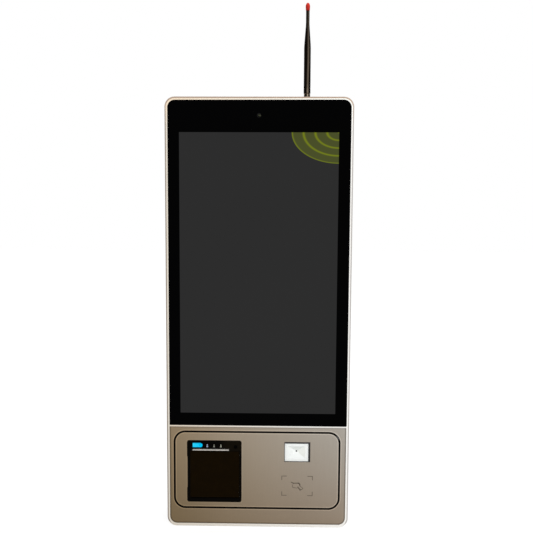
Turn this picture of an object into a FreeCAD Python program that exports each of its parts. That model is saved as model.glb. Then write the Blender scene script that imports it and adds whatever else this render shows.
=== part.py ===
import FreeCAD, Part
import Sketcher
import math
import os

# A wall-hung self-service kiosk: a portrait touch screen over a fascia whose rounded
# door carries a receipt printer, a code scanner and a card reader. Lengths are in
# millimetres. While a piece is drawn, x runs to the right from the middle of the body,
# y runs back from the front plane of the frame and z runs up from the body's lower edge.
# Every piece is then placed so that the origin is the middle of the wall bolt pattern.

doc = FreeCAD.newDocument("Kiosk")
sheet = doc.addObject("Spreadsheet::Sheet", "Sizes")

SIZES = {
    # Body and front frame
    "body_width": 395.0,
    "body_height": 926.0,
    "body_depth": 95.0,
    "frame_depth": 24.0,
    "frame_lip_side": 6.2,
    "frame_lip_end": 7.0,
    "frame_corner_radius": 21.0,
    "frame_inner_radius": 15.5,
    "frame_edge_round": 2.6,
    "flange_reach": 8.0,
    "flange_thickness": 2.0,
    "seat_gap": 0.1,
    # Cover glass, screen and camera
    "glass_recess": 0.3,
    "glass_thickness": 3.0,
    "divider_height": 4.4,
    "divider_flange": 6.0,
    "divider_round": 0.6,
    "lcd_border": 8.5,
    "screen_side_margin": 23.2,
    "screen_upper_margin": 66.4,
    "screen_lower_margin": 27.6,
    "lcd_thickness": 14.0,
    "lcd_board_width": 150.0,
    "lcd_board_height": 80.0,
    "lcd_board_thickness": 5.0,
    "rail_thickness": 1.5,
    "rail_overlap": 11.0,
    "rail_margin": 24.0,
    "rail_gap": 1.2,
    "rail_foot": 9.5,
    "camera_drop": 31.5,
    "camera_lens_radius": 4.5,
    "camera_board_width": 38.0,
    "camera_board_height": 18.0,
    "camera_board_thickness": 1.6,
    "camera_housing_side": 12.0,
    "camera_housing_depth": 8.0,
    # Rear housing and what is fastened in it
    "housing_wall": 1.2,
    "housing_gap": 0.5,
    "housing_rear_round": 4.0,
    "vent_length": 44.0,
    "vent_width": 4.0,
    "vent_pitch": 11.0,
    "vent_upper_drop": 126.0,
    "vent_lower_height": 110.0,
    "vent_offset": 80.0,
    "mount_height": 463.0,
    "mount_spacing": 200.0,
    "insert_bore_radius": 3.1,
    "insert_radius": 4.4,
    "insert_flange_radius": 7.0,
    "insert_flange_thickness": 2.0,
    "insert_length": 14.0,
    "screw_radius": 1.5,
    "screw_head_radius": 3.0,
    "screw_length": 11.0,
    "screw_setback": 16.0,
    "board_side": 170.0,
    "board_side_margin": 39.6,
    "board_rise": 17.0,
    "board_thickness": 1.6,
    "standoff_height": 10.0,
    "standoff_radius": 3.0,
    "standoff_inset": 7.0,
    "chip_side": 38.0,
    "chip_height": 4.0,
    "sink_side": 90.0,
    "sink_base": 4.0,
    "sink_fin_height": 22.0,
    "sink_fin_thickness": 1.2,
    "memory_length": 68.0,
    "memory_width": 7.0,
    "memory_height": 9.0,
    "memory_inset": 14.0,
    "memory_gap": 3.0,
    "port_width": 20.0,
    "port_length": 14.0,
    "port_height": 12.0,
    "port_pitch": 34.0,
    "port_inset": 18.0,
    "port_edge": 2.0,
    "supply_side_margin": 44.6,
    "supply_rise": 51.3,
    "supply_width": 120.0,
    "supply_height": 78.0,
    "supply_depth": 36.0,
    "supply_slot_width": 4.0,
    "supply_slot_pitch": 10.0,
    "supply_slot_margin": 18.0,
    "speaker_rise": 22.6,
    "speaker_height": 70.0,
    "speaker_front": 38.0,
    "speaker_width": 40.0,
    "speaker_depth": 18.0,
    "speaker_cone_radius": 16.0,
    "grille_slot": 3.0,
    "grille_pitch": 8.0,
    # Sockets in the underside
    "socket_rear_margin": 27.8,
    "inlet_side_margin": 59.6,
    "inlet_rear_margin": 22.8,
    "inlet_cavity_width": 24.6,
    "inlet_cavity_length": 17.0,
    "inlet_cavity_depth": 18.0,
    "inlet_body_height": 27.5,
    "inlet_wall": 2.9,
    "inlet_flange": 1.6,
    "inlet_pin_width": 4.0,
    "inlet_pin_thickness": 2.0,
    "inlet_pin_spread": 14.0,
    "inlet_pin_length": 15.0,
    "inlet_earth_offset": 4.0,
    "switch_offset": 25.5,
    "switch_cavity_width": 12.0,
    "switch_cavity_length": 20.0,
    "switch_cavity_depth": 14.0,
    "rocker_gap": 0.3,
    "rocker_half_length": 8.9,
    "rocker_depth": 5.2,
    "rocker_dip": 1.2,
    "rocker_tilt": 8.0,
    "rocker_pivot_radius": 1.2,
    "rocker_pivot_reach": 1.4,
    "network_offset": 64.0,
    "network_width": 16.0,
    "network_length": 16.0,
    "network_height": 22.0,
    "network_cavity_width": 11.8,
    "network_cavity_length": 8.4,
    "network_cavity_depth": 15.0,
    "usb_offset": 26.0,
    "usb_pitch": 20.0,
    "usb_width": 14.5,
    "usb_length": 7.2,
    "usb_height": 18.0,
    "usb_wall": 1.0,
    "usb_tongue_thickness": 1.8,
    "socket_flange": 1.5,
    # Antenna
    "antenna_side_margin": 88.8,
    "antenna_rear_margin": 33.8,
    "antenna_socket_radius": 3.1,
    "antenna_socket_drop": 14.0,
    "antenna_nut_radius": 4.6,
    "antenna_nut_height": 2.4,
    "antenna_base_radius": 7.3,
    "antenna_base_height": 10.0,
    "antenna_pivot_rise": 19.5,
    "antenna_ear_radius": 6.9,
    "antenna_ear_thickness": 1.9,
    "antenna_tongue_width": 6.0,
    "antenna_pin_radius": 1.25,
    "whip_foot": 7.7,
    "whip_radius": 7.4,
    "whip_ring_height": 19.0,
    "whip_barrel_top": 105.0,
    "whip_taper_top": 156.0,
    "whip_neck_radius": 3.8,
    "whip_tip_start": 181.5,
    "whip_tip_radius": 4.8,
    "whip_top": 199.6,
    # Fascia and service door
    "fascia_recess": 0.8,
    "door_left_margin": 12.2,
    "door_right_margin": 15.9,
    "door_lower_margin": 37.3,
    "door_upper_margin": 12.4,
    "door_height": 166.3,
    "door_radius": 21.6,
    "door_gap": 3.6,
    "door_rib_inset": 12.0,
    "door_rib_thickness": 2.0,
    "door_rib_height": 7.5,
    "hinge_inset": 16.25,
    "hinge_width": 24.0,
    "hinge_back": 6.2,
    "hinge_rise": 13.0,
    "hinge_knuckle_radius": 2.6,
    "hinge_pin_radius": 1.2,
    "hinge_leaf_height": 22.0,
    "hinge_leaf_thickness": 1.2,
    "hinge_strap": 2.6,
    "hinge_reach": 15.0,
    "hinge_foot": 20.0,
    "running_gap": 0.05,
    "motion_gap": 0.3,
    "buffer_radius": 4.0,
    "buffer_height": 2.7,
    "buffer_inset": 19.5,
    "buffer_tab_width": 16.0,
    "buffer_tab_thickness": 2.0,
    # Cam lock and strike
    "lock_drop": 20.6,
    "lock_back": 38.0,
    "lock_radius": 9.0,
    "lock_head_radius": 11.0,
    "lock_head_thickness": 2.5,
    "lock_length": 19.6,
    "lock_plug_radius": 6.0,
    "lock_cam_reach": 24.0,
    "lock_cam_width": 12.0,
    "lock_cam_thickness": 2.2,
    "lock_key_width": 1.4,
    "lock_key_height": 7.0,
    "strike_height": 16.0,
    "strike_drop": 14.0,
    "strike_thickness": 1.5,
    "strike_gap": 1.0,
    "strike_reach": 9.3,
    "strike_width": 14.0,
    # Printer bezel and lid
    "bezel_side_margin": 25.6,
    "bezel_width": 118.4,
    "bezel_lower_margin": 11.5,
    "bezel_height": 137.2,
    "bezel_radius": 4.5,
    "bezel_proud": 2.0,
    "bezel_face": 3.0,
    "bezel_notch": 1.2,
    "bezel_notch_rise": 32.2,
    "bezel_notch_height": 70.0,
    "lid_left_margin": 7.2,
    "lid_right_margin": 4.6,
    "lid_upper_margin": 23.5,
    "lid_thickness": 3.0,
    "lid_slope_height": 9.5,
    "lid_slope_depth": 1.8,
    "lid_axis_rise": 12.2,
    "lid_barrel_radius": 2.7,
    "lid_pin_radius": 1.0,
    "lid_rib_thickness": 1.6,
    "lid_rib_height": 2.8,
    "lid_arm_thickness": 2.0,
    "slot_side_margin": 3.0,
    "slot_width": 81.0,
    "slot_rise": 5.6,
    # Printer works
    "chassis_left_margin": 4.0,
    "chassis_right_margin": 3.9,
    "chassis_lower_margin": 4.2,
    "chassis_upper_margin": 4.0,
    "chassis_front": 6.0,
    "chassis_depth": 69.0,
    "chassis_wall": 1.2,
    "paper_width": 80.0,
    "paper_thickness": 0.2,
    "paper_end": -4.0,
    "paper_exit_drop": 3.1,
    "paper_bend_radius": 9.0,
    "roll_radius": 30.0,
    "roll_core_radius": 9.0,
    "roll_core_bore": 6.3,
    "roll_gap": 0.5,
    "bucket_wall": 2.0,
    "bucket_sill": 12.0,
    "platen_radius": 6.5,
    "platen_back": 15.0,
    "platen_drop": 12.5,
    "platen_shaft_radius": 2.5,
    "gear_module": 0.8,
    "platen_teeth": 20.0,
    "pinion_teeth": 14.0,
    "gear_width": 4.0,
    "gear_slack": 0.1,
    "head_thickness": 8.0,
    "head_rise": 9.0,
    "head_guide_radius": 5.0,
    "head_guide_drop": 7.0,
    "motor_radius": 12.0,
    "motor_length": 13.0,
    "motor_shaft_radius": 1.0,
    "bridge_back": 10.0,
    "bridge_rise": 5.5,
    # Release button, latch and feed key
    "button_side_margin": 12.6,
    "button_width": 21.1,
    "button_height": 9.7,
    "button_drop": 9.9,
    "button_proud": 0.6,
    "button_gap": 0.3,
    "button_flange": 2.3,
    "button_flange_thickness": 1.2,
    "button_travel": 2.5,
    "stem_offset": 2.9,
    "stem_radius": 2.0,
    "spring_radius": 2.8,
    "spring_wire_radius": 0.25,
    "spring_turns": 5.0,
    "latch_back": 16.0,
    "latch_rise": 5.65,
    "latch_thickness": 1.8,
    "latch_boss_radius": 3.6,
    "latch_pin_radius": 1.5,
    "latch_nose_drop": 1.1,
    "latch_nose_front": 8.2,
    "latch_nose_width": 2.2,
    "key_side_margin": 12.8,
    "key_drop": 13.3,
    "key_radius": 4.0,
    "key_flange": 0.9,
    "key_travel": 0.6,
    "light_offset": 10.4,
    "light_pitch": 14.8,
    "light_drop": 11.8,
    "light_dot_radius": 1.1,
    "light_bar_width": 3.4,
    "light_bar_height": 2.2,
    "panel_board_thickness": 1.2,
    "tear_bar_height": 1.5,
    "tear_bar_thickness": 0.6,
    "tear_bar_pitch": 2.0,
    # Code scanner and card reader
    "scan_side_margin": 61.2,
    "scan_width": 56.5,
    "scan_height": 44.4,
    "scan_upper_margin": 19.3,
    "scan_corner": 1.0,
    "reflector_left_margin": 1.3,
    "reflector_right_margin": 4.1,
    "reflector_lower_margin": 0.3,
    "reflector_upper_margin": 4.5,
    "reflector_border": 6.4,
    "reflector_depth": 7.0,
    "reflector_hole": 1.8,
    "scanner_margin": 3.6,
    "scanner_wall": 1.5,
    "scanner_depth": 36.0,
    "engine_width": 22.0,
    "engine_height": 16.0,
    "engine_board_thickness": 1.6,
    "reader_side_margin": 52.4,
    "reader_lower_margin": 23.7,
    "reader_width": 73.0,
    "reader_height": 53.0,
    "reader_depth": 10.0,
    "reader_plug_width": 14.0,
    "reader_plug_height": 8.0,
    "reader_plug_depth": 5.0,
    "reader_plug_inset": 10.0,
    "reader_plug_rise": 4.0,
}

for row, (alias, value) in enumerate(SIZES.items(), start=1):
    sheet.set(f"A{row}", alias)
    sheet.set(f"B{row}", str(value))
    sheet.setAlias(f"B{row}", alias)
doc.recompute()


class Size:
    """A length worked out from the sheet: its formula as text, and its value now."""

    def __init__(self, text, value):
        self.text = text
        self.value = float(value)

    def __add__(self, other):
        other = size(other)
        return Size(f"({self.text} + {other.text})", self.value + other.value)

    def __sub__(self, other):
        other = size(other)
        return Size(f"({self.text} - {other.text})", self.value - other.value)

    def __mul__(self, other):
        other = size(other)
        return Size(f"({self.text} * {other.text})", self.value * other.value)

    def __truediv__(self, other):
        other = size(other)
        return Size(f"({self.text} / {other.text})", self.value / other.value)

    def __radd__(self, other):
        return size(other) + self

    def __rsub__(self, other):
        return size(other) - self

    def __rmul__(self, other):
        return size(other) * self

    def __neg__(self):
        return Size(f"(0 - {self.text})", -self.value)

    def __float__(self):
        return self.value


def size(value):
    """Any number or Size as a Size."""
    if isinstance(value, Size):
        return value
    return Size(f"({float(value):.6g})", value)


class Sheet:
    """The sheet's cells by their alias, each as a Size."""

    def __getattr__(self, alias):
        return Size(f"Sizes.{alias}", getattr(sheet, alias))


s = Sheet()
nodes = []


def bind(item, prop, value):
    """Tie a property of an object to a length."""
    item.setExpression(prop, size(value).text)


def place(item, x, y, z):
    """Tie an object's position to three lengths."""
    bind(item, "Placement.Base.x", x)
    bind(item, "Placement.Base.y", y)
    bind(item, "Placement.Base.z", z)


def box(x0, x1, y0, y1, z0, z1):
    """A block between two corners."""
    item = doc.addObject("Part::Box", "Block")
    bind(item, "Length", size(x1) - x0)
    bind(item, "Width", size(y1) - y0)
    bind(item, "Height", size(z1) - z0)
    place(item, x0, y0, z0)
    return item


TURN = {
    "x": FreeCAD.Rotation(FreeCAD.Vector(0, 1, 0), 90),
    "y": FreeCAD.Rotation(FreeCAD.Vector(1, 0, 0), -90),
    "z": FreeCAD.Rotation(),
}


def rod(axis, start, end, across, radius):
    """A round bar along an axis from start to end; across is its place on the other two axes."""
    item = doc.addObject("Part::Cylinder", "Rod")
    item.Placement = FreeCAD.Placement(FreeCAD.Vector(), TURN[axis])
    bind(item, "Radius", radius)
    bind(item, "Height", size(end) - start)
    spots = {"x": (start, across[0], across[1]), "y": (across[0], start, across[1]), "z": (*across, start)}
    place(item, *spots[axis])
    return item


def cone(axis, start, end, across, start_radius, end_radius):
    """A cone along an axis."""
    item = doc.addObject("Part::Cone", "Cone")
    item.Placement = FreeCAD.Placement(FreeCAD.Vector(), TURN[axis])
    bind(item, "Radius1", start_radius)
    bind(item, "Radius2", end_radius)
    bind(item, "Height", size(end) - start)
    spots = {"x": (start, across[0], across[1]), "y": (across[0], start, across[1]), "z": (*across, start)}
    place(item, *spots[axis])
    return item


def tube(axis, start, end, across, radius, bore):
    """A round bar with a round bore."""
    return cut(rod(axis, start, end, across, radius), rod(axis, size(start) - 1, size(end) + 1, across, bore))


def cut(base, *tools):
    """The base without the tools."""
    item = doc.addObject("Part::Cut", "Cut")
    item.Base = base
    item.Tool = tools[0] if len(tools) == 1 else fuse(*tools)
    return item


def fuse(*parts):
    """Several shapes as one."""
    item = doc.addObject("Part::MultiFuse", "Fuse")
    item.Shapes = list(parts)
    item.Refine = True
    return item


def group(*parts):
    """Separate solids that share a node."""
    item = doc.addObject("Part::Compound", "Group")
    item.Links = list(parts)
    return item


ROLE = {"x": "YZ_Plane", "y": "XZ_Plane", "z": "XY_Plane"}


def pad(axis, start, end, outline):
    """A straight-sided outline drawn across an axis and padded along it from start to end.

    The outline's points are (y, z) across x, (x, z) across y and (x, y) across z.
    """
    body = doc.addObject("PartDesign::Body", "Body")
    sketch = body.newObject("Sketcher::SketchObject", "Outline")
    origin_plane = next(item for item in body.Origin.OriginFeatures if item.Role == ROLE[axis])
    sketch.AttachmentSupport = (origin_plane, [""])
    sketch.MapMode = "FlatFace"
    # The sketch plane across y faces forwards, so there the pad starts at its far end.
    offset = -size(end) if axis == "y" else size(start)
    bind(sketch, "AttachmentOffset.Base.z", offset)
    points = [(size(u), size(v)) for u, v in outline]
    count = len(points)
    for index in range(count):
        here = FreeCAD.Vector(points[index][0].value, points[index][1].value, 0)
        following = points[(index + 1) % count]
        there = FreeCAD.Vector(following[0].value, following[1].value, 0)
        sketch.addGeometry(Part.LineSegment(here, there), False)
    for index in range(count):
        sketch.addConstraint(Sketcher.Constraint("Coincident", index, 2, (index + 1) % count, 1))
    for index, point in enumerate(points):
        for kind, length in zip(("DistanceX", "DistanceY"), point):
            number = sketch.addConstraint(Sketcher.Constraint(kind, -1, 1, index, 1, length.value))
            sketch.setExpression(f"Constraints[{number}]", length.text)
    feature = body.newObject("PartDesign::Pad", "Pad")
    feature.Profile = sketch
    bind(feature, "Length", size(end) - start)
    return body


def slab(x0, x1, y0, y1, z0, z1):
    """A block made as a body, whose edges can be rounded."""
    return pad("y", y0, y1, [(x0, z0), (x1, z0), (x1, z1), (x0, z1)])


def rounded(body, radius, wanted):
    """Round the edges of a body that wanted(start, end) picks, by their end points."""
    doc.recompute()
    last = body.Tip
    picked = []
    for number, edge in enumerate(last.Shape.Edges, start=1):
        first = edge.Vertexes[0].Point
        second = edge.Vertexes[-1].Point
        if wanted(first, second):
            picked.append(f"Edge{number}")
    feature = body.newObject("PartDesign::Fillet", "Round")
    feature.Base = (last, picked)
    bind(feature, "Radius", radius)
    return body


def along_y(first, second):
    """Whether an edge runs front to back."""
    return abs(first.y - second.y) > abs(first.x - second.x) + abs(first.z - second.z)


def plate(x0, x1, y0, y1, z0, z1, radius, corners="all"):
    """An upright plate with rounded corners: all four, the top two or the bottom two."""
    middle = (size(z0).value + size(z1).value) / 2

    def wanted(first, second):
        if not along_y(first, second):
            return False
        if corners == "top":
            return first.z > middle
        if corners == "bottom":
            return first.z < middle
        return True

    return rounded(slab(x0, x1, y0, y1, z0, z1), radius, wanted)


def feature(shape):
    """A shape worked out in this file."""
    item = doc.addObject("Part::Feature", "Form")
    item.Shape = shape
    return item


def node(name, item):
    """Name a finished sub-part and move it to the origin at the wall bolts."""
    if item.TypeId in ("Part::Box", "Part::Cylinder", "Part::Cone", "Part::Feature"):
        item = group(item)
    item.Label = name
    place(item, 0, -s.body_depth, -s.mount_height)
    nodes.append(item)
    return item


# Places that several pieces share
half_width = s.body_width / 2
inner_half = half_width - s.frame_lip_side
inner_bottom = s.frame_lip_end
inner_top = s.body_height - s.frame_lip_end
flange_front = s.glass_recess + s.glass_thickness
flange_back = flange_front + s.flange_thickness
housing_half = inner_half - s.housing_gap
housing_bottom = inner_bottom + s.housing_gap
housing_top = inner_top - s.housing_gap
inside_half = housing_half - s.housing_wall
inside_bottom = housing_bottom + s.housing_wall
inside_top = housing_top - s.housing_wall
inside_back = s.body_depth - s.housing_wall
door_left = -inner_half + s.door_left_margin
door_right = inner_half - s.door_right_margin
door_bottom = inner_bottom + s.door_lower_margin
door_top = door_bottom + s.door_height
fascia_top = door_top + s.door_upper_margin
glass_bottom = fascia_top + s.divider_height
camera_height = inner_top - s.camera_drop
lcd_back = flange_front + s.lcd_thickness
lcd_half = inner_half - s.screen_side_margin + s.lcd_border
lcd_bottom = glass_bottom + s.screen_lower_margin - s.lcd_border
lcd_top = inner_top - s.screen_upper_margin + s.lcd_border
vent_upper_height = s.body_height - s.vent_upper_drop
board_left = -inside_half + s.board_side_margin
board_bottom = s.mount_height + s.mount_spacing / 2 + s.board_rise
supply_left = inside_half - s.supply_side_margin - s.supply_width
supply_bottom = inside_bottom + s.supply_rise
speaker_bottom = glass_bottom + s.speaker_rise
socket_depth_line = inside_back - s.socket_rear_margin
inlet_x = -inside_half + s.inlet_side_margin
inlet_y = inside_back - s.inlet_rear_margin
network_x = inlet_x + s.network_offset
usb_x = network_x + s.usb_offset
antenna_x = inner_half - s.antenna_side_margin
antenna_y = inside_back - s.antenna_rear_margin
lock_height = door_top - s.lock_drop
door_back = flange_front
hinge_axis = (s.hinge_back, door_bottom + s.hinge_rise)
hinge_places = (door_left + s.hinge_inset, door_right - s.hinge_inset)

# Places in the printer
bezel_left = door_left + s.bezel_side_margin
bezel_right = bezel_left + s.bezel_width
bezel_bottom = door_bottom + s.bezel_lower_margin
bezel_top = bezel_bottom + s.bezel_height
bezel_notch_bottom = bezel_bottom + s.bezel_notch_rise
bezel_notch_top = bezel_notch_bottom + s.bezel_notch_height
lid_left = bezel_left + s.lid_left_margin
lid_right = bezel_right - s.lid_right_margin
lid_top = bezel_top - s.lid_upper_margin
lid_axis_height = bezel_bottom + s.lid_axis_rise
slot_left = lid_left + s.slot_side_margin
slot_right = slot_left + s.slot_width
slot_top = lid_top + s.slot_rise
chassis_left = bezel_left + s.chassis_left_margin
chassis_right = bezel_right - s.chassis_right_margin
chassis_bottom = bezel_bottom + s.chassis_lower_margin
chassis_top = bezel_top - s.chassis_upper_margin
chassis_back = s.chassis_front + s.chassis_depth
paper_exit_height = slot_top - s.paper_exit_drop
platen_height = lid_top - s.platen_drop
head_top = platen_height + s.head_rise
head_guide_height = platen_height - s.head_guide_drop
bridge_bottom = lid_top + s.bridge_rise
button_left = bezel_left + s.button_side_margin
button_right = button_left + s.button_width
button_middle = bezel_top - s.button_drop
stem_x = button_left + s.stem_offset
latch_height = lid_top + s.latch_rise
latch_nose_bottom = lid_top - s.latch_nose_drop
key_x = bezel_right - s.key_side_margin
key_height = bezel_top - s.key_drop
light_first_x = button_right + s.light_offset
light_height = bezel_top - s.light_drop

# Places of the code scanner and the card reader
scan_right = door_right - s.scan_side_margin
scan_left = scan_right - s.scan_width
scan_top = door_top - s.scan_upper_margin
scan_bottom = scan_top - s.scan_height
reflector_left = scan_left + s.reflector_left_margin
reflector_right = scan_right - s.reflector_right_margin
reflector_bottom = scan_bottom + s.reflector_lower_margin
reflector_top = scan_top - s.reflector_upper_margin
reader_left = door_right - s.reader_side_margin - s.reader_width
reader_bottom = door_bottom + s.reader_lower_margin


def mount_spots():
    """The four wall bolts, as (x, z)."""
    half = s.mount_spacing / 2
    return [(dx, s.mount_height + dz) for dx in (-half, half) for dz in (-half, half)]


def screw_rows():
    """Heights of the side screws that hold the housing in the frame."""
    return [s.body_height * share for share in (0.08, 0.36, 0.64, 0.92)]


# Front frame: a ring with a rounded outer edge and an inner flange that glass and fascia sit on
def front_frame():
    ring = plate(-half_width, half_width, 0, s.frame_depth, 0, s.body_height, s.frame_corner_radius)
    rounded(ring, s.frame_edge_round, lambda first, second: abs(first.y) < 0.01 and abs(second.y) < 0.01)
    front = plate(-inner_half, inner_half, -1, flange_front, inner_bottom, inner_top, s.frame_inner_radius)
    rear = plate(-inner_half, inner_half, flange_back, s.frame_depth + 1, inner_bottom, inner_top,
                 s.frame_inner_radius)
    reach = s.flange_reach
    window = plate(-inner_half + reach, inner_half - reach, -2, s.frame_depth + 2,
                   inner_bottom + reach, inner_top - reach, s.frame_inner_radius / 2)
    holes = []
    for side in (-1, 1):
        for height in screw_rows():
            across = (s.screw_setback, height)
            if side > 0:
                holes.append(cone("x", half_width - s.screw_head_radius, half_width, across, 0.3,
                                  s.screw_head_radius + 0.05))
                holes.append(rod("x", inner_half - 1, half_width, across, s.screw_radius + s.running_gap))
            else:
                holes.append(cone("x", -half_width, -half_width + s.screw_head_radius, across,
                                  s.screw_head_radius + 0.05, 0.3))
                holes.append(rod("x", -half_width, -inner_half + 1, across, s.screw_radius + s.running_gap))
    node("front_frame", cut(ring, front, rear, window, *holes))


# Cover glass with a hole for the camera lens
def cover_glass():
    edge = inner_half - s.seat_gap
    sheet_glass = plate(-edge, edge, s.glass_recess, flange_front, glass_bottom, inner_top - s.seat_gap,
                        s.frame_inner_radius - s.seat_gap, "top")
    hole = rod("y", -1, flange_front + 1, (0, camera_height), s.camera_lens_radius + s.seat_gap)
    node("cover_glass", cut(sheet_glass, hole))


# Divider between glass and fascia, with a flange behind both
def divider_trim():
    bar = rounded(slab(-inner_half, inner_half, s.glass_recess / 2, flange_front, fascia_top, glass_bottom),
                  s.divider_round,
                  lambda first, second: abs(first.x - second.x) > 100 and first.y < 1)
    reach = inner_half - s.flange_reach
    flange = box(-reach, reach, flange_front, flange_back, fascia_top - s.divider_flange,
                 glass_bottom + s.divider_flange)
    node("divider_trim", fuse(bar, flange))


# Fascia with the rounded opening of the door and two tabs that carry the door's buffers
def lower_fascia():
    edge = inner_half - s.seat_gap
    face = plate(-edge, edge, s.fascia_recess, flange_front, inner_bottom + s.seat_gap, fascia_top - s.seat_gap,
                 s.frame_inner_radius - s.seat_gap, "bottom")
    opening = plate(door_left - s.door_gap, door_right + s.door_gap, -1, flange_front + 1,
                    door_bottom - s.door_gap, door_top + s.door_gap, s.door_radius + s.door_gap)
    tabs = []
    tab_front = door_back + s.motion_gap + s.buffer_height
    tab_back = tab_front + s.buffer_tab_thickness
    for x in buffer_places():
        x0 = x - s.buffer_tab_width / 2
        x1 = x + s.buffer_tab_width / 2
        foot_bottom = door_top + s.door_gap
        tabs.append(box(x0, x1, flange_front, tab_back, foot_bottom, fascia_top - s.divider_flange - 0.5))
        tabs.append(box(x0, x1, tab_front, tab_back, door_top - 2 * s.buffer_radius, foot_bottom + 1))
    node("lower_fascia", fuse(cut(face, opening), *tabs))


def buffer_places():
    """The x of the two rubber buffers behind the door's upper corners."""
    return (door_left + s.buffer_inset, door_right - s.buffer_inset)


def door_buffers():
    front = door_back + s.motion_gap
    buffers = [rod("y", front, front + s.buffer_height, (x, door_top - s.buffer_radius), s.buffer_radius - 0.5)
               for x in buffer_places()]
    node("door_buffers", group(*buffers))


# Screen module with its driver board, and the two rails that clamp it to the frame's flange
def display_panel():
    panel = box(-lcd_half, lcd_half, flange_front, lcd_back, lcd_bottom, lcd_top)
    driver_bottom = (lcd_bottom + lcd_top) / 2
    board = box(-s.lcd_board_width / 2, s.lcd_board_width / 2, lcd_back, lcd_back + s.lcd_board_thickness,
                driver_bottom, driver_bottom + s.lcd_board_height)
    node("display_panel", fuse(panel, board))


def display_rails():
    rails = []
    for side in (-1, 1):
        web = lcd_half + s.rail_gap
        outer = web + s.rail_thickness
        foot = outer + s.rail_foot
        lip = lcd_half - s.rail_overlap
        back = lcd_back + s.rail_thickness
        shape = [(foot, flange_back), (foot, flange_back + s.rail_thickness),
                 (outer, flange_back + s.rail_thickness), (outer, back), (lip, back), (lip, lcd_back),
                 (web, lcd_back), (web, flange_back)]
        outline = [(side * x, y) for x, y in shape]
        rails.append(pad("z", lcd_bottom + s.rail_margin, lcd_top - s.rail_margin, outline))
    node("display_rails", group(*rails))


# Camera behind the glass, its lens barrel in the glass's hole
def camera_module():
    across = (0, camera_height)
    barrel = rod("y", s.glass_recess + 0.15, flange_front + s.camera_board_thickness, across,
                 s.camera_lens_radius)
    recess = cone("y", s.glass_recess - 0.5, flange_front - 1, across, s.camera_lens_radius - 0.6, 1.2)
    half_x = s.camera_board_width / 2
    half_z = s.camera_board_height / 2
    board = box(-half_x, half_x, flange_front, flange_front + s.camera_board_thickness,
                camera_height - half_z, camera_height + half_z)
    half = s.camera_housing_side / 2
    housing = box(-half, half, flange_front + s.camera_board_thickness,
                  flange_front + s.camera_board_thickness + s.camera_housing_depth,
                  camera_height - half, camera_height + half)
    node("camera_module", fuse(cut(barrel, recess), board, housing))


# Rear housing: a folded steel tray with vents, sound slots, sockets in its floor and a lock hole
def rear_housing():
    outer_radius = s.frame_inner_radius - s.housing_gap
    tray = plate(-housing_half, housing_half, flange_back, s.body_depth, housing_bottom, housing_top, outer_radius)
    deep = s.body_depth.value
    rounded(tray, s.housing_rear_round,
            lambda first, second: abs(first.y - deep) < 0.01 and abs(second.y - deep) < 0.01)
    hollow = plate(-inside_half, inside_half, flange_back - 1, inside_back, inside_bottom, inside_top,
                   outer_radius - s.housing_wall)
    holes = [rod("y", inside_back - 1, s.body_depth + 1, spot, s.insert_radius + s.running_gap)
             for spot in mount_spots()]
    for height in (vent_upper_height, s.vent_lower_height):
        for side in (-1, 1):
            for row in range(-3, 4):
                x = side * s.vent_offset
                z = height + row * s.vent_pitch
                holes.append(box(x - s.vent_length / 2, x + s.vent_length / 2, inside_back - 1, s.body_depth + 1,
                                 z - s.vent_width / 2, z + s.vent_width / 2))
    for side in (-1, 1):
        for row in range(-2, 3):
            z = speaker_bottom + s.speaker_height / 2 + row * s.grille_pitch
            y = s.speaker_front + s.speaker_width / 2
            low, high = (inside_half - 1, housing_half + 1) if side > 0 else (-housing_half - 1, -inside_half + 1)
            holes.append(box(low, high, y - s.speaker_cone_radius * 0.8, y + s.speaker_cone_radius * 0.8,
                             z - s.grille_slot / 2, z + s.grille_slot / 2))
        for height in screw_rows():
            low, high = (inside_half - 1, housing_half + 1) if side > 0 else (-housing_half - 1, -inside_half + 1)
            holes.append(rod("x", low, high, (s.screw_setback, height), s.screw_radius + s.running_gap))
    holes.append(rod("x", inside_half - 1, housing_half + 1, (s.lock_back, lock_height),
                     s.lock_radius + s.running_gap))
    holes.append(rod("z", inside_top - 1, housing_top + 1, (antenna_x, antenna_y),
                     s.antenna_socket_radius + s.running_gap))
    floor = (housing_bottom - 1, inside_bottom + 1)
    holes.append(box(inlet_left() - s.seat_gap, inlet_right() + s.seat_gap, inlet_front() - s.seat_gap,
                     inlet_back() + s.seat_gap, *floor))
    for x, width, length in socket_cuts():
        holes.append(box(x - width / 2 - s.seat_gap, x + width / 2 + s.seat_gap,
                         socket_depth_line - length / 2 - s.seat_gap,
                         socket_depth_line + length / 2 + s.seat_gap, *floor))
    node("rear_housing", cut(tray, hollow, *holes))


def socket_cuts():
    """The x, width and depth of each data socket."""
    usb = [(usb_x + index * s.usb_pitch, s.usb_width, s.usb_length) for index in range(2)]
    return [(network_x, s.network_width, s.network_length)] + usb


def mounting_inserts():
    inserts = []
    for spot in mount_spots():
        back = s.body_depth
        sleeve = rod("y", back - s.insert_length, back, spot, s.insert_radius)
        flange = rod("y", inside_back - s.insert_flange_thickness, inside_back, spot, s.insert_flange_radius)
        bore = rod("y", back - s.insert_length - 1, back + 1, spot, s.insert_bore_radius)
        inserts.append(cut(fuse(sleeve, flange), bore))
    node("mounting_inserts", group(*inserts))


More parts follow.
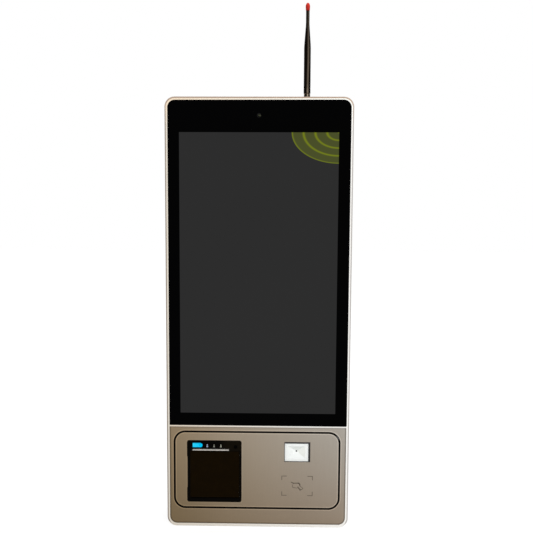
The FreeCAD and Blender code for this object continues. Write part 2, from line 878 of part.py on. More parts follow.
def housing_screws():
    screws = []
    for side in (-1, 1):
        for height in screw_rows():
            across = (s.screw_setback, height)
            head = s.screw_head_radius
            if side > 0:
                parts = (cone("x", half_width - head, half_width, across, 0.25, head),
                         rod("x", half_width - s.screw_length, half_width - 0.5, across, s.screw_radius))
                slot = box(half_width - 0.8, half_width + 1, s.screw_setback - 0.4, s.screw_setback + 0.4,
                           height - 2, height + 2)
            else:
                parts = (cone("x", -half_width, -half_width + head, across, head, 0.25),
                         rod("x", -half_width + 0.5, -half_width + s.screw_length, across, s.screw_radius))
                slot = box(-half_width - 1, -half_width + 0.8, s.screw_setback - 0.4, s.screw_setback + 0.4,
                           height - 2, height + 2)
            screws.append(cut(fuse(*parts), slot))
    node("housing_screws", group(*screws))


# Computer board on standoffs, with its heat sink
board_front = inside_back - s.standoff_height - s.board_thickness
chip_x = board_left + s.board_side * 0.42
chip_z = board_bottom + s.board_side * 0.52


def main_board():
    left, bottom = board_left, board_bottom
    right, top = left + s.board_side, bottom + s.board_side
    pcb = box(left, right, board_front, board_front + s.board_thickness, bottom, top)
    chip_front = board_front - s.chip_height
    half = s.chip_side / 2
    parts = [box(chip_x - half, chip_x + half, chip_front, board_front, chip_z - half, chip_z + half)]
    for index in range(2):
        x = right - s.memory_inset - index * (s.memory_width + s.memory_gap)
        end = top - s.memory_inset
        parts.append(box(x, x + s.memory_width, board_front - s.memory_height, board_front,
                         end - s.memory_length, end))
    for index in range(3):
        x = left + s.port_inset + index * s.port_pitch
        parts.append(box(x, x + s.port_width, board_front - s.port_height, board_front, bottom + s.port_edge,
                         bottom + s.port_edge + s.port_length))
    node("main_board", fuse(pcb, *parts))


def heat_sink():
    half = s.sink_side / 2
    base_back = board_front - s.chip_height
    base = box(chip_x - half, chip_x + half, base_back - s.sink_base, base_back, chip_z - half, chip_z + half)
    fins = []
    count = 12
    pitch = (s.sink_side - s.sink_fin_thickness) / (count - 1)
    for index in range(count):
        x = chip_x - half + pitch * index
        front = base_back - s.sink_base - s.sink_fin_height
        fins.append(box(x, x + s.sink_fin_thickness, front, base_back - s.sink_base, chip_z - half, chip_z + half))
    node("heat_sink", fuse(base, *fins))


def board_standoffs():
    posts = []
    near = s.standoff_inset
    far = s.board_side - s.standoff_inset
    for dx in (near, far):
        for dz in (near, far):
            across = (board_left + dx, board_bottom + dz)
            posts.append(rod("y", inside_back - s.standoff_height, inside_back, across, s.standoff_radius))
    node("board_standoffs", group(*posts))


def power_supply():
    left, bottom = supply_left, supply_bottom
    right, top = left + s.supply_width, bottom + s.supply_height
    front = inside_back - s.supply_depth
    case = box(left, right, front, inside_back, bottom, top)
    slots = []
    for index in range(9):
        x = (left + right) / 2 + (index - 4) * s.supply_slot_pitch - s.supply_slot_width / 2
        slots.append(box(x, x + s.supply_slot_width, front - 1, front + 1.2, bottom + s.supply_slot_margin,
                         top - s.supply_slot_margin))
    terminal = box(left + 10, right - 10, front + 8, front + 20, top, top + 9)
    node("power_supply", fuse(cut(case, *slots), terminal))


def speakers():
    boxes = []
    z = speaker_bottom + s.speaker_height / 2
    y = s.speaker_front + s.speaker_width / 2
    for side in (-1, 1):
        low, high = (inside_half - s.speaker_depth, inside_half)
        if side < 0:
            low, high = (-inside_half, -inside_half + s.speaker_depth)
        case = box(low, high, s.speaker_front, s.speaker_front + s.speaker_width, speaker_bottom,
                   speaker_bottom + s.speaker_height)
        if side > 0:
            cone_cut = cone("x", inside_half - 8, inside_half + 0.01, (y, z), s.speaker_cone_radius * 0.4,
                            s.speaker_cone_radius)
        else:
            cone_cut = cone("x", -inside_half - 0.01, -inside_half + 8, (y, z), s.speaker_cone_radius,
                            s.speaker_cone_radius * 0.4)
        boxes.append(cut(case, cone_cut))
    node("speakers", group(*boxes))


# Mains inlet with its rocker switch, in the floor of the housing
def inlet_left():
    return inlet_x - s.inlet_cavity_width / 2 - s.inlet_wall


def inlet_right():
    return inlet_x + s.switch_offset + s.switch_cavity_width / 2 + s.inlet_wall


def inlet_front():
    return inlet_y - s.switch_cavity_length / 2 - s.inlet_wall / 2


def inlet_back():
    return inlet_y + s.switch_cavity_length / 2 + s.inlet_wall / 2


inlet_face = housing_bottom - s.inlet_flange
rocker_axis = (inlet_y, inlet_face + s.rocker_depth - 1.4)
rocker_x = inlet_x + s.switch_offset


def power_inlet():
    shell = box(inlet_left(), inlet_right(), inlet_front(), inlet_back(), inlet_face,
                housing_bottom + s.inlet_body_height)
    flange = box(inlet_left() - 2, inlet_right() + 2, inlet_front() - 2, inlet_back() + 2, inlet_face,
                 housing_bottom)
    half_x = s.inlet_cavity_width / 2
    half_y = s.inlet_cavity_length / 2
    cavity = box(inlet_x - half_x, inlet_x + half_x, inlet_y - half_y, inlet_y + half_y, inlet_face - 1,
                 inlet_face + s.inlet_cavity_depth)
    switch = box(rocker_x - s.switch_cavity_width / 2, rocker_x + s.switch_cavity_width / 2,
                 inlet_y - s.switch_cavity_length / 2, inlet_y + s.switch_cavity_length / 2, inlet_face - 1,
                 inlet_face + s.switch_cavity_depth)
    reach = s.switch_cavity_width / 2 + s.rocker_pivot_reach
    bores = rod("x", rocker_x - reach - 0.2, rocker_x + reach + 0.2, rocker_axis,
                s.rocker_pivot_radius + s.running_gap)
    pins = []
    spots = [(-s.inlet_pin_spread / 2, -s.inlet_earth_offset / 2),
             (s.inlet_pin_spread / 2, -s.inlet_earth_offset / 2), (size(0), s.inlet_earth_offset / 2 + 1.5)]
    for dx, dy in spots:
        x, y = inlet_x + dx, inlet_y + dy
        top = inlet_face + s.inlet_cavity_depth
        pins.append(box(x - s.inlet_pin_thickness / 2, x + s.inlet_pin_thickness / 2, y - s.inlet_pin_width / 2,
                        y + s.inlet_pin_width / 2, top - s.inlet_pin_length, top + 1))
    node("power_inlet", fuse(cut(fuse(shell, flange), cavity, switch, bores), *pins))


def power_rocker():
    """A rocker tipped to its on side about its pivot."""
    tilt = math.radians(float(s.rocker_tilt))
    turn_cos, turn_sin = math.cos(tilt), math.sin(tilt)

    def tipped(y, z):
        y, z = size(y), size(z)
        return (rocker_axis[0] + y * turn_cos - z * turn_sin, rocker_axis[1] + y * turn_sin + z * turn_cos)

    long = s.rocker_half_length
    deep = s.rocker_depth
    outline = [tipped(-long, -deep), tipped(0, -deep + s.rocker_dip), tipped(long, -deep), tipped(long, 1.5),
               tipped(long / 2, 4), tipped(-long / 2, 4), tipped(-long, 1.5)]
    half = s.switch_cavity_width / 2 - s.rocker_gap
    face = pad("x", rocker_x - half, rocker_x + half, outline)
    reach = s.switch_cavity_width / 2 + s.rocker_pivot_reach
    pivot = rod("x", rocker_x - reach, rocker_x + reach, rocker_axis, s.rocker_pivot_radius)
    node("power_rocker", fuse(face, pivot))


def data_socket(x, width, length, height, cavity):
    """A socket that stands on the housing's floor, open at the bottom."""
    y = socket_depth_line
    bottom = housing_bottom - 0.3
    shell = box(x - width / 2, x + width / 2, y - length / 2, y + length / 2, bottom, bottom + height)
    flange = box(x - width / 2 - s.socket_flange, x + width / 2 + s.socket_flange,
                 y - length / 2 - s.socket_flange, y + length / 2 + s.socket_flange, inside_bottom,
                 inside_bottom + s.socket_flange)
    return cut(fuse(shell, flange), cavity)


def network_socket():
    x, y = network_x, socket_depth_line
    bottom = housing_bottom - 0.3
    cavity = box(x - s.network_cavity_width / 2, x + s.network_cavity_width / 2, y - s.network_cavity_length / 2,
                 y + s.network_cavity_length / 2, bottom - 1, bottom + s.network_cavity_depth)
    node("network_socket", data_socket(x, s.network_width, s.network_length, s.network_height, cavity))


def usb_sockets():
    sockets = []
    bottom = housing_bottom - 0.3
    for index in range(2):
        x, y = usb_x + index * s.usb_pitch, socket_depth_line
        half_x = s.usb_width / 2 - s.usb_wall
        half_y = s.usb_length / 2 - s.usb_wall
        depth = s.usb_height - 2 * s.usb_wall
        cavity = box(x - half_x, x + half_x, y - half_y, y + half_y, bottom - 1, bottom + depth)
        tongue = box(x - half_x + 0.8, x + half_x - 0.8, y - s.usb_tongue_thickness / 2,
                     y + s.usb_tongue_thickness / 2, bottom + 2, bottom + depth + 0.5)
        socket = data_socket(x, s.usb_width, s.usb_length, s.usb_height, cavity)
        sockets.append(fuse(socket, tongue))
    node("usb_sockets", group(*sockets))


# Antenna: a socket in the housing's top, a base that swivels on it and a whip that tilts
antenna_spot = (antenna_x, antenna_y)
antenna_foot = housing_top + s.antenna_nut_height
antenna_pivot = housing_top + s.antenna_pivot_rise


def antenna_socket():
    thread = rod("z", housing_top - s.antenna_socket_drop, antenna_foot + 5, antenna_spot, s.antenna_socket_radius)
    collar = rod("z", inside_top - 3, inside_top, antenna_spot, s.antenna_nut_radius)
    nut = rod("z", housing_top, antenna_foot, antenna_spot, s.antenna_nut_radius)
    node("antenna_socket", fuse(thread, collar, nut))


def antenna_base():
    x, y = antenna_spot
    foot = antenna_foot + s.motion_gap
    skirt_top = foot + s.antenna_base_height
    skirt = rod("z", foot, skirt_top, antenna_spot, s.antenna_base_radius)
    bore = rod("z", foot - 1, antenna_foot + 5.4, antenna_spot, s.antenna_socket_radius + s.running_gap)
    ears = []
    inner = s.antenna_tongue_width / 2 + 0.2
    half = s.antenna_ear_radius
    for low, high in ((inner, inner + s.antenna_ear_thickness), (-inner - s.antenna_ear_thickness, -inner)):
        upright = box(x - half, x + half, y + low, y + high, skirt_top - 1, antenna_pivot)
        round_top = rod("y", y + low, y + high, (x, antenna_pivot), half)
        ears.append(common(fuse(upright, round_top), rod("z", skirt_top - 2, antenna_pivot + 2 * half,
                                                        antenna_spot, s.antenna_base_radius)))
    pin_hole = rod("y", y - 10, y + 10, (x, antenna_pivot), s.antenna_pin_radius)
    node("antenna_base", cut(fuse(skirt, *ears), bore, pin_hole))


def common(first, second):
    """What two shapes share."""
    item = doc.addObject("Part::Common", "Common")
    item.Base = first
    item.Tool = second
    return item


def antenna_hinge_pin():
    x, y = antenna_spot
    reach = s.antenna_tongue_width / 2 + 0.2 + s.antenna_ear_thickness - 0.5
    node("antenna_hinge_pin", rod("y", y - reach, y + reach, (x, antenna_pivot), s.antenna_pin_radius))


def turned(profile):
    """A solid of revolution about the antenna's axis, from (radius, height) points."""
    points = [FreeCAD.Vector(float(radius), 0, float(height)) for radius, height in profile]
    face = Part.Face(Part.makePolygon(points + points[:1]))
    solid = face.revolve(FreeCAD.Vector(), FreeCAD.Vector(0, 0, 1), 360)
    solid.translate(FreeCAD.Vector(float(antenna_x), float(antenna_y), float(antenna_pivot)))
    return solid


def antenna_whip():
    x, y = antenna_spot
    ring = s.whip_ring_height
    barrel = s.whip_radius
    profile = [(0, s.whip_foot), (barrel - 0.6, s.whip_foot), (barrel, s.whip_foot + 0.8), (barrel, ring),
               (barrel - 0.5, ring + 0.3), (barrel - 0.5, ring + 1.1), (barrel, ring + 1.4),
               (barrel - 0.1, s.whip_barrel_top), (barrel - 0.5, s.whip_barrel_top + 8),
               (s.whip_neck_radius + 0.35, s.whip_taper_top - 6), (s.whip_neck_radius, s.whip_taper_top),
               (s.whip_neck_radius, s.whip_tip_start), (0, s.whip_tip_start)]
    stem = feature(turned(profile))
    half = s.antenna_tongue_width / 2
    narrow = s.antenna_ear_radius - 0.3
    tongue = box(x - narrow, x + narrow, y - half, y + half, antenna_pivot, antenna_pivot + s.whip_foot + 0.5)
    eye = rod("y", y - half, y + half, (x, antenna_pivot), narrow)
    hole = rod("y", y - half - 1, y + half + 1, (x, antenna_pivot), s.antenna_pin_radius + s.running_gap)
    node("antenna_whip", cut(fuse(stem, tongue, eye), hole))


def antenna_tip():
    start, top = float(s.whip_tip_start), float(s.whip_top)
    wide = float(s.whip_tip_radius)
    neck = float(s.whip_neck_radius)
    waist = start + (top - start) * 0.55
    rise = top - waist
    profile = [(0, start), (neck, start)]
    steps = 8
    for index in range(steps + 1):
        share = index / steps
        profile.append((neck + (wide - neck) * math.sin(share * math.pi / 2), start + (waist - start) * share))
    for index in range(1, steps):
        angle = index / steps * math.pi / 2
        profile.append((wide * math.cos(angle), waist + rise * math.sin(angle)))
    profile.append((0, top))
    node("antenna_tip", feature(turned(profile[1:] if profile[1] == profile[2] else profile)))


# Service door: plate, ribs, hinge leaves and strike
def service_door():
    face = plate(door_left, door_right, s.fascia_recess, door_back, door_bottom, door_top, s.door_radius)
    cuts = [box(chassis_left - 1, chassis_right + 1, -1, 50, chassis_bottom - 1, chassis_top + 1)]
    cuts.append(plate(scan_left, scan_right, -1, door_back + 1, scan_bottom, scan_top, s.scan_corner))
    inset = s.door_rib_inset
    wall = s.door_rib_thickness
    rib_back = door_back + s.door_rib_height
    outer = box(door_left + inset, door_right - inset, door_back, rib_back, door_bottom + inset,
                door_top - inset)
    inner = box(door_left + inset + wall, door_right - inset - wall, door_back - 1, rib_back + 1,
                door_bottom + inset + wall, door_top - inset - wall)
    notches = []
    for x in hinge_places:
        half = s.hinge_width / 2 + 1
        notches.append(box(x - half, x + half, door_back, rib_back + 1, door_bottom,
                           hinge_axis[1] + s.hinge_leaf_height + 1))
    notches.append(box(strike_inner_x - 1, strike_inner_x + s.strike_width + 1, door_back, rib_back + 1,
                       strike_bottom - 1, strike_top + s.strike_height + 1))
    ribs = cut(outer, inner, *notches)
    node("service_door", cut(fuse(face, ribs), *cuts))


def hinge_brackets():
    """Goosenecks that stand on the housing's floor and reach forward under the door."""
    y, z = hinge_axis
    half = s.hinge_strap / 2
    post_front = y + s.hinge_reach
    post_back = post_front + s.rail_thickness
    outline = [(y, z - half), (post_front, z - half), (post_front, inside_bottom),
               (post_back + s.hinge_foot, inside_bottom), (post_back + s.hinge_foot, inside_bottom + s.rail_thickness),
               (post_back, inside_bottom + s.rail_thickness), (post_back, z + half), (y, z + half)]
    brackets = []
    for x in hinge_places:
        left, right = x - s.hinge_width / 2, x + s.hinge_width / 2
        strap = pad("x", left, right, outline)
        knuckle = rod("x", left, right, hinge_axis, s.hinge_knuckle_radius)
        gap = s.hinge_width / 6 + 0.2
        clear = s.hinge_knuckle_radius + 0.6
        middle = box(x - gap, x + gap, y - clear, y + clear, z - clear, z + clear)
        bore = rod("x", left - 1, right + 1, hinge_axis, s.hinge_pin_radius + s.running_gap)
        brackets.append(cut(fuse(strap, knuckle), middle, bore))
    node("hinge_brackets", group(*brackets))


def hinge_pins():
    pins = [rod("x", x - s.hinge_width / 2 - 0.5, x + s.hinge_width / 2 + 0.5, hinge_axis, s.hinge_pin_radius)
            for x in hinge_places]
    node("hinge_pins", group(*pins))


def door_hinge_leaves():
    y, z = hinge_axis
    leaves = []
    for x in hinge_places:
        half = s.hinge_width / 6 - 0.1
        knuckle = rod("x", x - half, x + half, hinge_axis, s.hinge_knuckle_radius)
        back = door_back + s.hinge_leaf_thickness
        neck = box(x - half, x + half, door_back, back, z, z + 5)
        leaf = box(x - s.hinge_width / 2, x + s.hinge_width / 2, door_back, back,
                   z + s.hinge_knuckle_radius + 0.8, z + s.hinge_leaf_height)
        bore = rod("x", x - half - 1, x + half + 1, hinge_axis, s.hinge_pin_radius + s.running_gap)
        screws = []
        for dx in (-1, 1):
            spot = (x + dx * (s.hinge_width / 2 - 5), z + s.hinge_leaf_height - 6)
            screws.append(rod("y", back, back + 1.2, spot, 2.4))
        leaves.append(cut(fuse(knuckle, neck, leaf, *screws), bore))
    node("door_hinge_leaves", group(*leaves))


lock_axis = (s.lock_back, lock_height)
lock_inner = inside_half - s.lock_length
cam_right = lock_inner - 0.5
cam_left = cam_right - s.lock_cam_thickness
strike_top = lock_height - s.strike_drop
strike_bottom = strike_top - s.strike_height
strike_front = s.lock_back + s.lock_cam_width / 2 + s.strike_gap
strike_inner_x = cam_left - s.strike_reach


def door_strike():
    x0 = strike_inner_x
    thick = s.strike_thickness
    foot = box(x0, x0 + s.strike_width, door_back, door_back + thick, strike_bottom, strike_top + s.strike_height)
    arm = box(x0, x0 + thick, door_back, strike_front + thick, strike_bottom, strike_top)
    hook = box(x0, x0 + s.strike_width, strike_front, strike_front + thick, strike_bottom, strike_top)
    node("door_strike", fuse(foot, arm, hook))


# Cam lock in the right side wall; the cam rests pointing forward, which is unlocked
def lock_barrel():
    head = rod("x", housing_half, housing_half + s.lock_head_thickness, lock_axis, s.lock_head_radius)
    barrel = rod("x", lock_inner, housing_half, lock_axis, s.lock_radius)
    bore = rod("x", lock_inner - 1, housing_half + s.lock_head_thickness + 1, lock_axis,
               s.lock_plug_radius + s.running_gap)
    node("lock_barrel", cut(fuse(head, barrel), bore))


def lock_plug():
    outer = housing_half + s.lock_head_thickness + 0.2
    plug = rod("x", cam_right, outer, lock_axis, s.lock_plug_radius)
    spigot = rod("x", cam_left - 2, cam_right, lock_axis, 3)
    screw = rod("x", cam_left - 2.6, cam_left, lock_axis, 4.5)
    keyway = box(outer - 4, outer + 1, s.lock_back - s.lock_key_width / 2, s.lock_back + s.lock_key_width / 2,
                 lock_height - s.lock_key_height / 2, lock_height + s.lock_key_height / 2)
    node("lock_plug", cut(fuse(plug, spigot, screw), keyway))


def lock_cam():
    half = s.lock_cam_width / 2
    tip = s.lock_back - s.lock_cam_reach + half
    hub = rod("x", cam_left, cam_right, lock_axis, half + 2)
    arm = box(cam_left, cam_right, tip, s.lock_back, lock_height - half, lock_height + half)
    end = rod("x", cam_left, cam_right, (tip, lock_height), half)
    hole = rod("x", cam_left - 1, cam_right + 1, lock_axis, 3 + s.running_gap)
    node("lock_cam", cut(fuse(hub, arm, end), hole))


# Printer: bezel and lid
bezel_front = s.fascia_recess - s.bezel_proud
face_back = bezel_front + s.bezel_face
lid_axis = (bezel_front + s.lid_barrel_radius, lid_axis_height)
lid_back = bezel_front + s.lid_thickness
lid_open_left = lid_left - s.motion_gap
lid_open_right = lid_right + s.motion_gap
lid_open_bottom = lid_axis_height - s.lid_barrel_radius - s.motion_gap
lid_open_top = lid_top + s.motion_gap + 0.1
board_face = s.chassis_front - s.panel_board_thickness
inner_left = chassis_left + s.chassis_wall
inner_right = chassis_right - s.chassis_wall
works_floor = chassis_bottom + s.chassis_wall
works_top = chassis_top - s.chassis_wall
works_back = chassis_back - s.chassis_wall
works_wall = slot_right + 0.8


def light_places():
    """The x of the three status lights."""
    return [light_first_x + index * s.light_pitch for index in range(3)]


def light_dot(x):
    """Where the round part of a status light is, as (x, z)."""
    return (x, light_height + 2.2)


def bullet(y0, y1, margin):
    """The button's outline, square at the left and round at the right, grown by a margin."""
    radius = s.button_height / 2 + margin
    middle = button_right - s.button_height / 2
    straight = box(button_left - margin, middle, y0, y1, button_middle - radius, button_middle + radius)
    return fuse(straight, rod("y", y0, y1, (middle, button_middle), radius))


def printer_bezel():
    flange = plate(bezel_left, bezel_right, bezel_front, s.fascia_recess, bezel_bottom, bezel_top,
                   s.bezel_radius)
    rounded(flange, 0.6, lambda first, second: abs(first.y - bezel_front.value) < 0.01
            and abs(second.y - bezel_front.value) < 0.01)
    gap = s.seat_gap * 2
    sleeve = box(chassis_left - 1 + gap, chassis_right + 1 - gap, s.fascia_recess, s.chassis_front,
                 chassis_bottom - 1 + gap, chassis_top + 1 - gap)
    opening = box(lid_open_left, lid_open_right, bezel_front - 1, s.chassis_front + 1, lid_open_bottom,
                  lid_open_top)
    slot = box(slot_left, slot_right, bezel_front - 1, s.chassis_front + 1, lid_open_top - 1, slot_top)
    pocket = box(chassis_left + 0.5, chassis_right - 0.5, face_back, s.chassis_front + 1, slot_top + 1.2,
                 chassis_top)
    notch = box(bezel_left - 1, bezel_left + s.bezel_notch, bezel_front - 1, s.fascia_recess,
                bezel_notch_bottom, bezel_notch_top)
    key_spot = (key_x, key_height)
    cuts = [opening, slot, pocket, notch, bullet(bezel_front - 1, face_back + 1, s.button_gap)]
    cuts.append(rod("y", bezel_front - 1, face_back + 1, key_spot, s.key_radius + 0.2))
    cuts.append(rod("y", face_back, s.chassis_front + 1, key_spot, s.key_radius + s.key_flange + 0.4))
    for x in light_places():
        cuts.append(rod("y", bezel_front - 1, face_back + 1, light_dot(x), s.light_dot_radius + s.seat_gap))
        cuts.append(light_bar(x, bezel_front - 1, face_back + 1, s.seat_gap))
    cuts.append(rod("x", pin_left, pin_right, lid_axis, s.lid_pin_radius + 0.02))
    bosses = [rod("y", face_back, board_face, spot, 1.4) for spot in boss_spots()]
    node("printer_bezel", fuse(cut(fuse(flange, sleeve), *cuts), *bosses))


def boss_spots():
    """The two posts behind the bezel that carry the key board."""
    z = chassis_top - 2.6
    return [(light_first_x - 3.0, z), (key_x - 10, z)]


def light_bar(x, y0, y1, margin):
    """The straight part of a status light."""
    half = s.light_bar_width / 2 + margin
    top = light_height - 0.4 + margin
    return box(x - half, x + half, y0, y1, top - s.light_bar_height - 2 * margin, top)


def status_lights():
    lights = []
    for x in light_places():
        guide_front = face_back + 0.4
        dot = rod("y", bezel_front, guide_front + 0.5, light_dot(x), s.light_dot_radius)
        bar = light_bar(x, bezel_front, guide_front + 0.5, 0)
        guide = box(x - 2.6, x + 2.6, guide_front, board_face, light_height - 3.2, light_height + 3.8)
        lights.append(fuse(dot, bar, guide))
    node("status_lights", group(*lights))


def key_board():
    left = light_first_x - 5.6
    right = inner_right - 0.3
    bottom, top = slot_top + 1.5, chassis_top - 0.8
    board = box(left, right, board_face, s.chassis_front, bottom, top)
    front = board_face - 0.8
    switch = box(key_x - 2.5, key_x + 2.5, front, board_face, key_height - 2.5, key_height + 2.5)
    node("key_board", fuse(board, switch))


def feed_key():
    spot = (key_x, key_height)
    back = board_face - 0.8 - s.key_travel - 0.2
    shoulder = face_back + 0.4
    cap = rod("y", bezel_front - 0.2, shoulder + 0.2, spot, s.key_radius)
    flange = rod("y", shoulder, back, spot, s.key_radius + s.key_flange)
    node("feed_key", fuse(cap, flange))


pin_left = chassis_left + 0.5
pin_right = chassis_right + 0.6


def lid_hinge_pin():
    node("lid_hinge_pin", rod("x", pin_left, pin_right, lid_axis, s.lid_pin_radius))


arm_left = lid_left + 0.3
arm_right = slot_right + 0.8


def printer_lid():
    y, z = lid_axis
    slope_start = lid_top - s.lid_slope_height
    outline = [(bezel_front, z), (bezel_front, slope_start), (bezel_front + s.lid_slope_depth, lid_top),
               (lid_back, lid_top), (lid_back, z)]
    skin = pad("x", lid_left, lid_right, outline)
    barrel = rod("x", lid_left, lid_right, lid_axis, s.lid_barrel_radius)
    inset = 3.0
    wall = s.lid_rib_thickness
    x0, x1, z0, z1 = lid_left + inset, lid_right - inset, z + 4, slope_start - 2
    rib_back = lid_back + s.lid_rib_height
    ribs = cut(box(x0, x1, lid_back - 0.5, rib_back, z0, z1),
               box(x0 + wall, x1 - wall, lid_back - 1, rib_back + 1, z0 + wall, z1 - wall))
    parts = [skin, barrel, ribs]
    platen = (s.platen_back, platen_height)
    boss = s.platen_shaft_radius * 2
    arm_outline = [(lid_back - 0.5, platen_height - 29), (lid_back - 0.5, platen_height + 6),
                   (s.platen_back, platen_height + boss), (s.platen_back, platen_height - boss)]
    for left in (arm_left, arm_right):
        parts.append(pad("x", left, left + s.lid_arm_thickness, arm_outline))
        parts.append(rod("x", left, left + s.lid_arm_thickness, platen, boss))
    horn_front = s.latch_nose_front + s.latch_nose_width + 0.4
    parts.append(box(arm_left, arm_left + s.lid_arm_thickness, horn_front, horn_front + 2.2, platen_height + 3,
                     latch_nose_bottom - 0.9))
    bores = [rod("x", lid_left - 1, lid_right + 1, lid_axis, s.lid_pin_radius + s.running_gap),
             rod("x", arm_left - 1, arm_right + s.lid_arm_thickness + 1, platen,
                 s.platen_shaft_radius + s.running_gap)]
    node("printer_lid", cut(fuse(*parts), *bores))


# Printer: platen, gears and motor
platen_axis = (s.platen_back, platen_height)
gear_left = arm_right + s.lid_arm_thickness + 1
gear_right = gear_left + s.gear_width
gear_distance = s.gear_module * (s.platen_teeth + s.pinion_teeth) / 2 + s.gear_slack
motor_axis = (s.platen_back + gear_distance, platen_height)
paper_left = (slot_left + slot_right) / 2 - s.paper_width / 2
paper_right = paper_left + s.paper_width


def platen_roller():
    ends = 0.5
    node("platen_roller", tube("x", paper_left - ends, paper_right + 0.3, platen_axis, s.platen_radius,
                               s.platen_shaft_radius))


def platen_shaft():
    node("platen_shaft", rod("x", arm_left + 0.2, gear_right + 0.4, platen_axis, s.platen_shaft_radius))


def gear_blank(teeth, module, phase):
    """An involute gear's outline about the origin, in the plane of y and z."""
    pressure = math.radians(20)
    pitch_radius = module * teeth / 2
    base_radius = pitch_radius * math.cos(pressure)
    root_radius = pitch_radius - 1.25 * module
    tip_radius = pitch_radius + module
    slack = 0.04

    def involute(radius):
        angle = math.acos(min(1.0, base_radius / radius))
        return math.tan(angle) - angle

    half_tooth = math.pi / (2 * teeth) - slack / pitch_radius
    flank = []
    steps = 5
    low = max(root_radius, base_radius)
    for index in range(steps + 1):
        radius = low + (tip_radius - low) * index / steps
        flank.append((radius, half_tooth + involute(pitch_radius) - involute(radius)))
    if root_radius < base_radius:
        flank.insert(0, (root_radius, flank[0][1]))
    points = []
    for tooth in range(teeth):
        middle = phase + 2 * math.pi * tooth / teeth
        for radius, angle in flank:
            points.append((radius, middle - angle))
        for radius, angle in reversed(flank):
            points.append((radius, middle + angle))
    return [FreeCAD.Vector(0, radius * math.cos(angle), radius * math.sin(angle)) for radius, angle in points]


def gear(teeth, phase, axis, left, right, bore):
    """A spur gear along x with a round bore."""
    count = int(round(float(teeth)))
    outline = gear_blank(count, float(s.gear_module), phase)
    face = Part.Face(Part.makePolygon(outline + outline[:1]))
    solid = face.extrude(FreeCAD.Vector(float(right) - float(left), 0, 0))
    solid.translate(FreeCAD.Vector(float(left), float(axis[0]), float(axis[1])))
    return cut(feature(solid), rod("x", size(left) - 1, size(right) + 1, axis, bore))


def platen_gear():
    # A tooth of the platen's gear points back along the line of centres.
    node("platen_gear", gear(s.platen_teeth, 0.0, platen_axis, gear_left, gear_right, s.platen_shaft_radius))


def motor_pinion():
    # A gap of the pinion faces that tooth.
    phase = math.pi + math.pi / int(round(float(s.pinion_teeth)))
    wheel = gear(s.pinion_teeth, phase, motor_axis, gear_left, gear_right, s.motor_shaft_radius - 0.5)
    shaft = rod("x", gear_left, motor_left + s.motor_length / 2, motor_axis, s.motor_shaft_radius)
    node("motor_pinion", fuse(wheel, shaft))


motor_left = inner_right - s.motor_length


def feed_motor():
    can = rod("x", motor_left, inner_right, motor_axis, s.motor_radius)
    nose = rod("x", motor_left - 0.6, motor_left, motor_axis, 3)
    connector = box(motor_left + 3, inner_right, motor_axis[0] - 5, motor_axis[0] + 5,
                    motor_axis[1] - s.motor_radius - 3, motor_axis[1] - s.motor_radius + 2)
    bore = rod("x", motor_left - 1, motor_left + s.motor_length / 2 + 0.5, motor_axis,
               s.motor_shaft_radius + s.running_gap)
    node("feed_motor", cut(fuse(can, nose, connector), bore))


# Printer: steel chassis with a cross plate for the button's stem and a wall beside the paper
def printer_chassis():
    shell = cut(box(chassis_left, chassis_right, s.chassis_front, chassis_back, chassis_bottom,
                    chassis_top),
                box(inner_left, inner_right, s.chassis_front - 1, works_back, works_floor, works_top))
    wall_front = head_front
    wall = box(works_wall, works_wall + 1.5, wall_front, works_back + 0.5, works_floor - 0.5, works_top + 0.5)
    bridge = box(slot_left - 0.2, works_wall + 1.5, s.bridge_back, s.bridge_back + s.chassis_wall,
                 bridge_bottom, works_top + 0.5)
    gusset = box(works_wall, works_wall + 1.5, s.bridge_back, wall_front + 1, bridge_bottom, works_top + 0.5)
    pivot = rod("x", inner_left - 0.5, latch_right + 0.3, latch_axis, s.latch_pin_radius)
    hole = rod("y", s.bridge_back - 1, s.bridge_back + s.chassis_wall + 1, stem_spot, s.stem_radius + 0.3)
    node("printer_chassis", cut(fuse(shell, wall, bridge, gusset, pivot), hole))


roll_axis = (works_back - s.bucket_wall - s.roll_gap - s.roll_radius,
             works_floor + s.bucket_wall + s.roll_gap + s.roll_radius)


def paper_bucket():
    front = s.chassis_front + 2
    block = box(inner_left, works_wall, front, works_back, works_floor, roll_axis[1] - 2)
    bore = rod("x", inner_left - 1, works_wall + 1, roll_axis, s.roll_radius + s.roll_gap)
    mouth = box(inner_left - 1, works_wall + 1, front - 1, roll_axis[0] - s.roll_radius / 2,
                works_floor + s.bucket_sill, roll_axis[1])
    node("paper_bucket", cut(block, bore, mouth))


def paper_roll():
    node("paper_roll", tube("x", paper_left, paper_right, roll_axis, s.roll_radius, s.roll_core_radius))


def roll_core():
    node("roll_core", tube("x", paper_left - 0.3, paper_right + 0.3, roll_axis, s.roll_core_radius,
                           s.roll_core_bore))


# Printer: head with its paper guide, and the paper from the roll to the slot
web_front = s.platen_back + s.platen_radius + 0.25
head_front = web_front + s.paper_thickness
guide_axis = (head_front + s.head_guide_radius, head_guide_height)


def thermal_head():
    block = box(inner_left, works_wall, head_front, head_front + s.head_thickness, head_guide_height, head_top)
    guide = rod("x", inner_left, works_wall, guide_axis, s.head_guide_radius)
    node("thermal_head", fuse(block, guide))


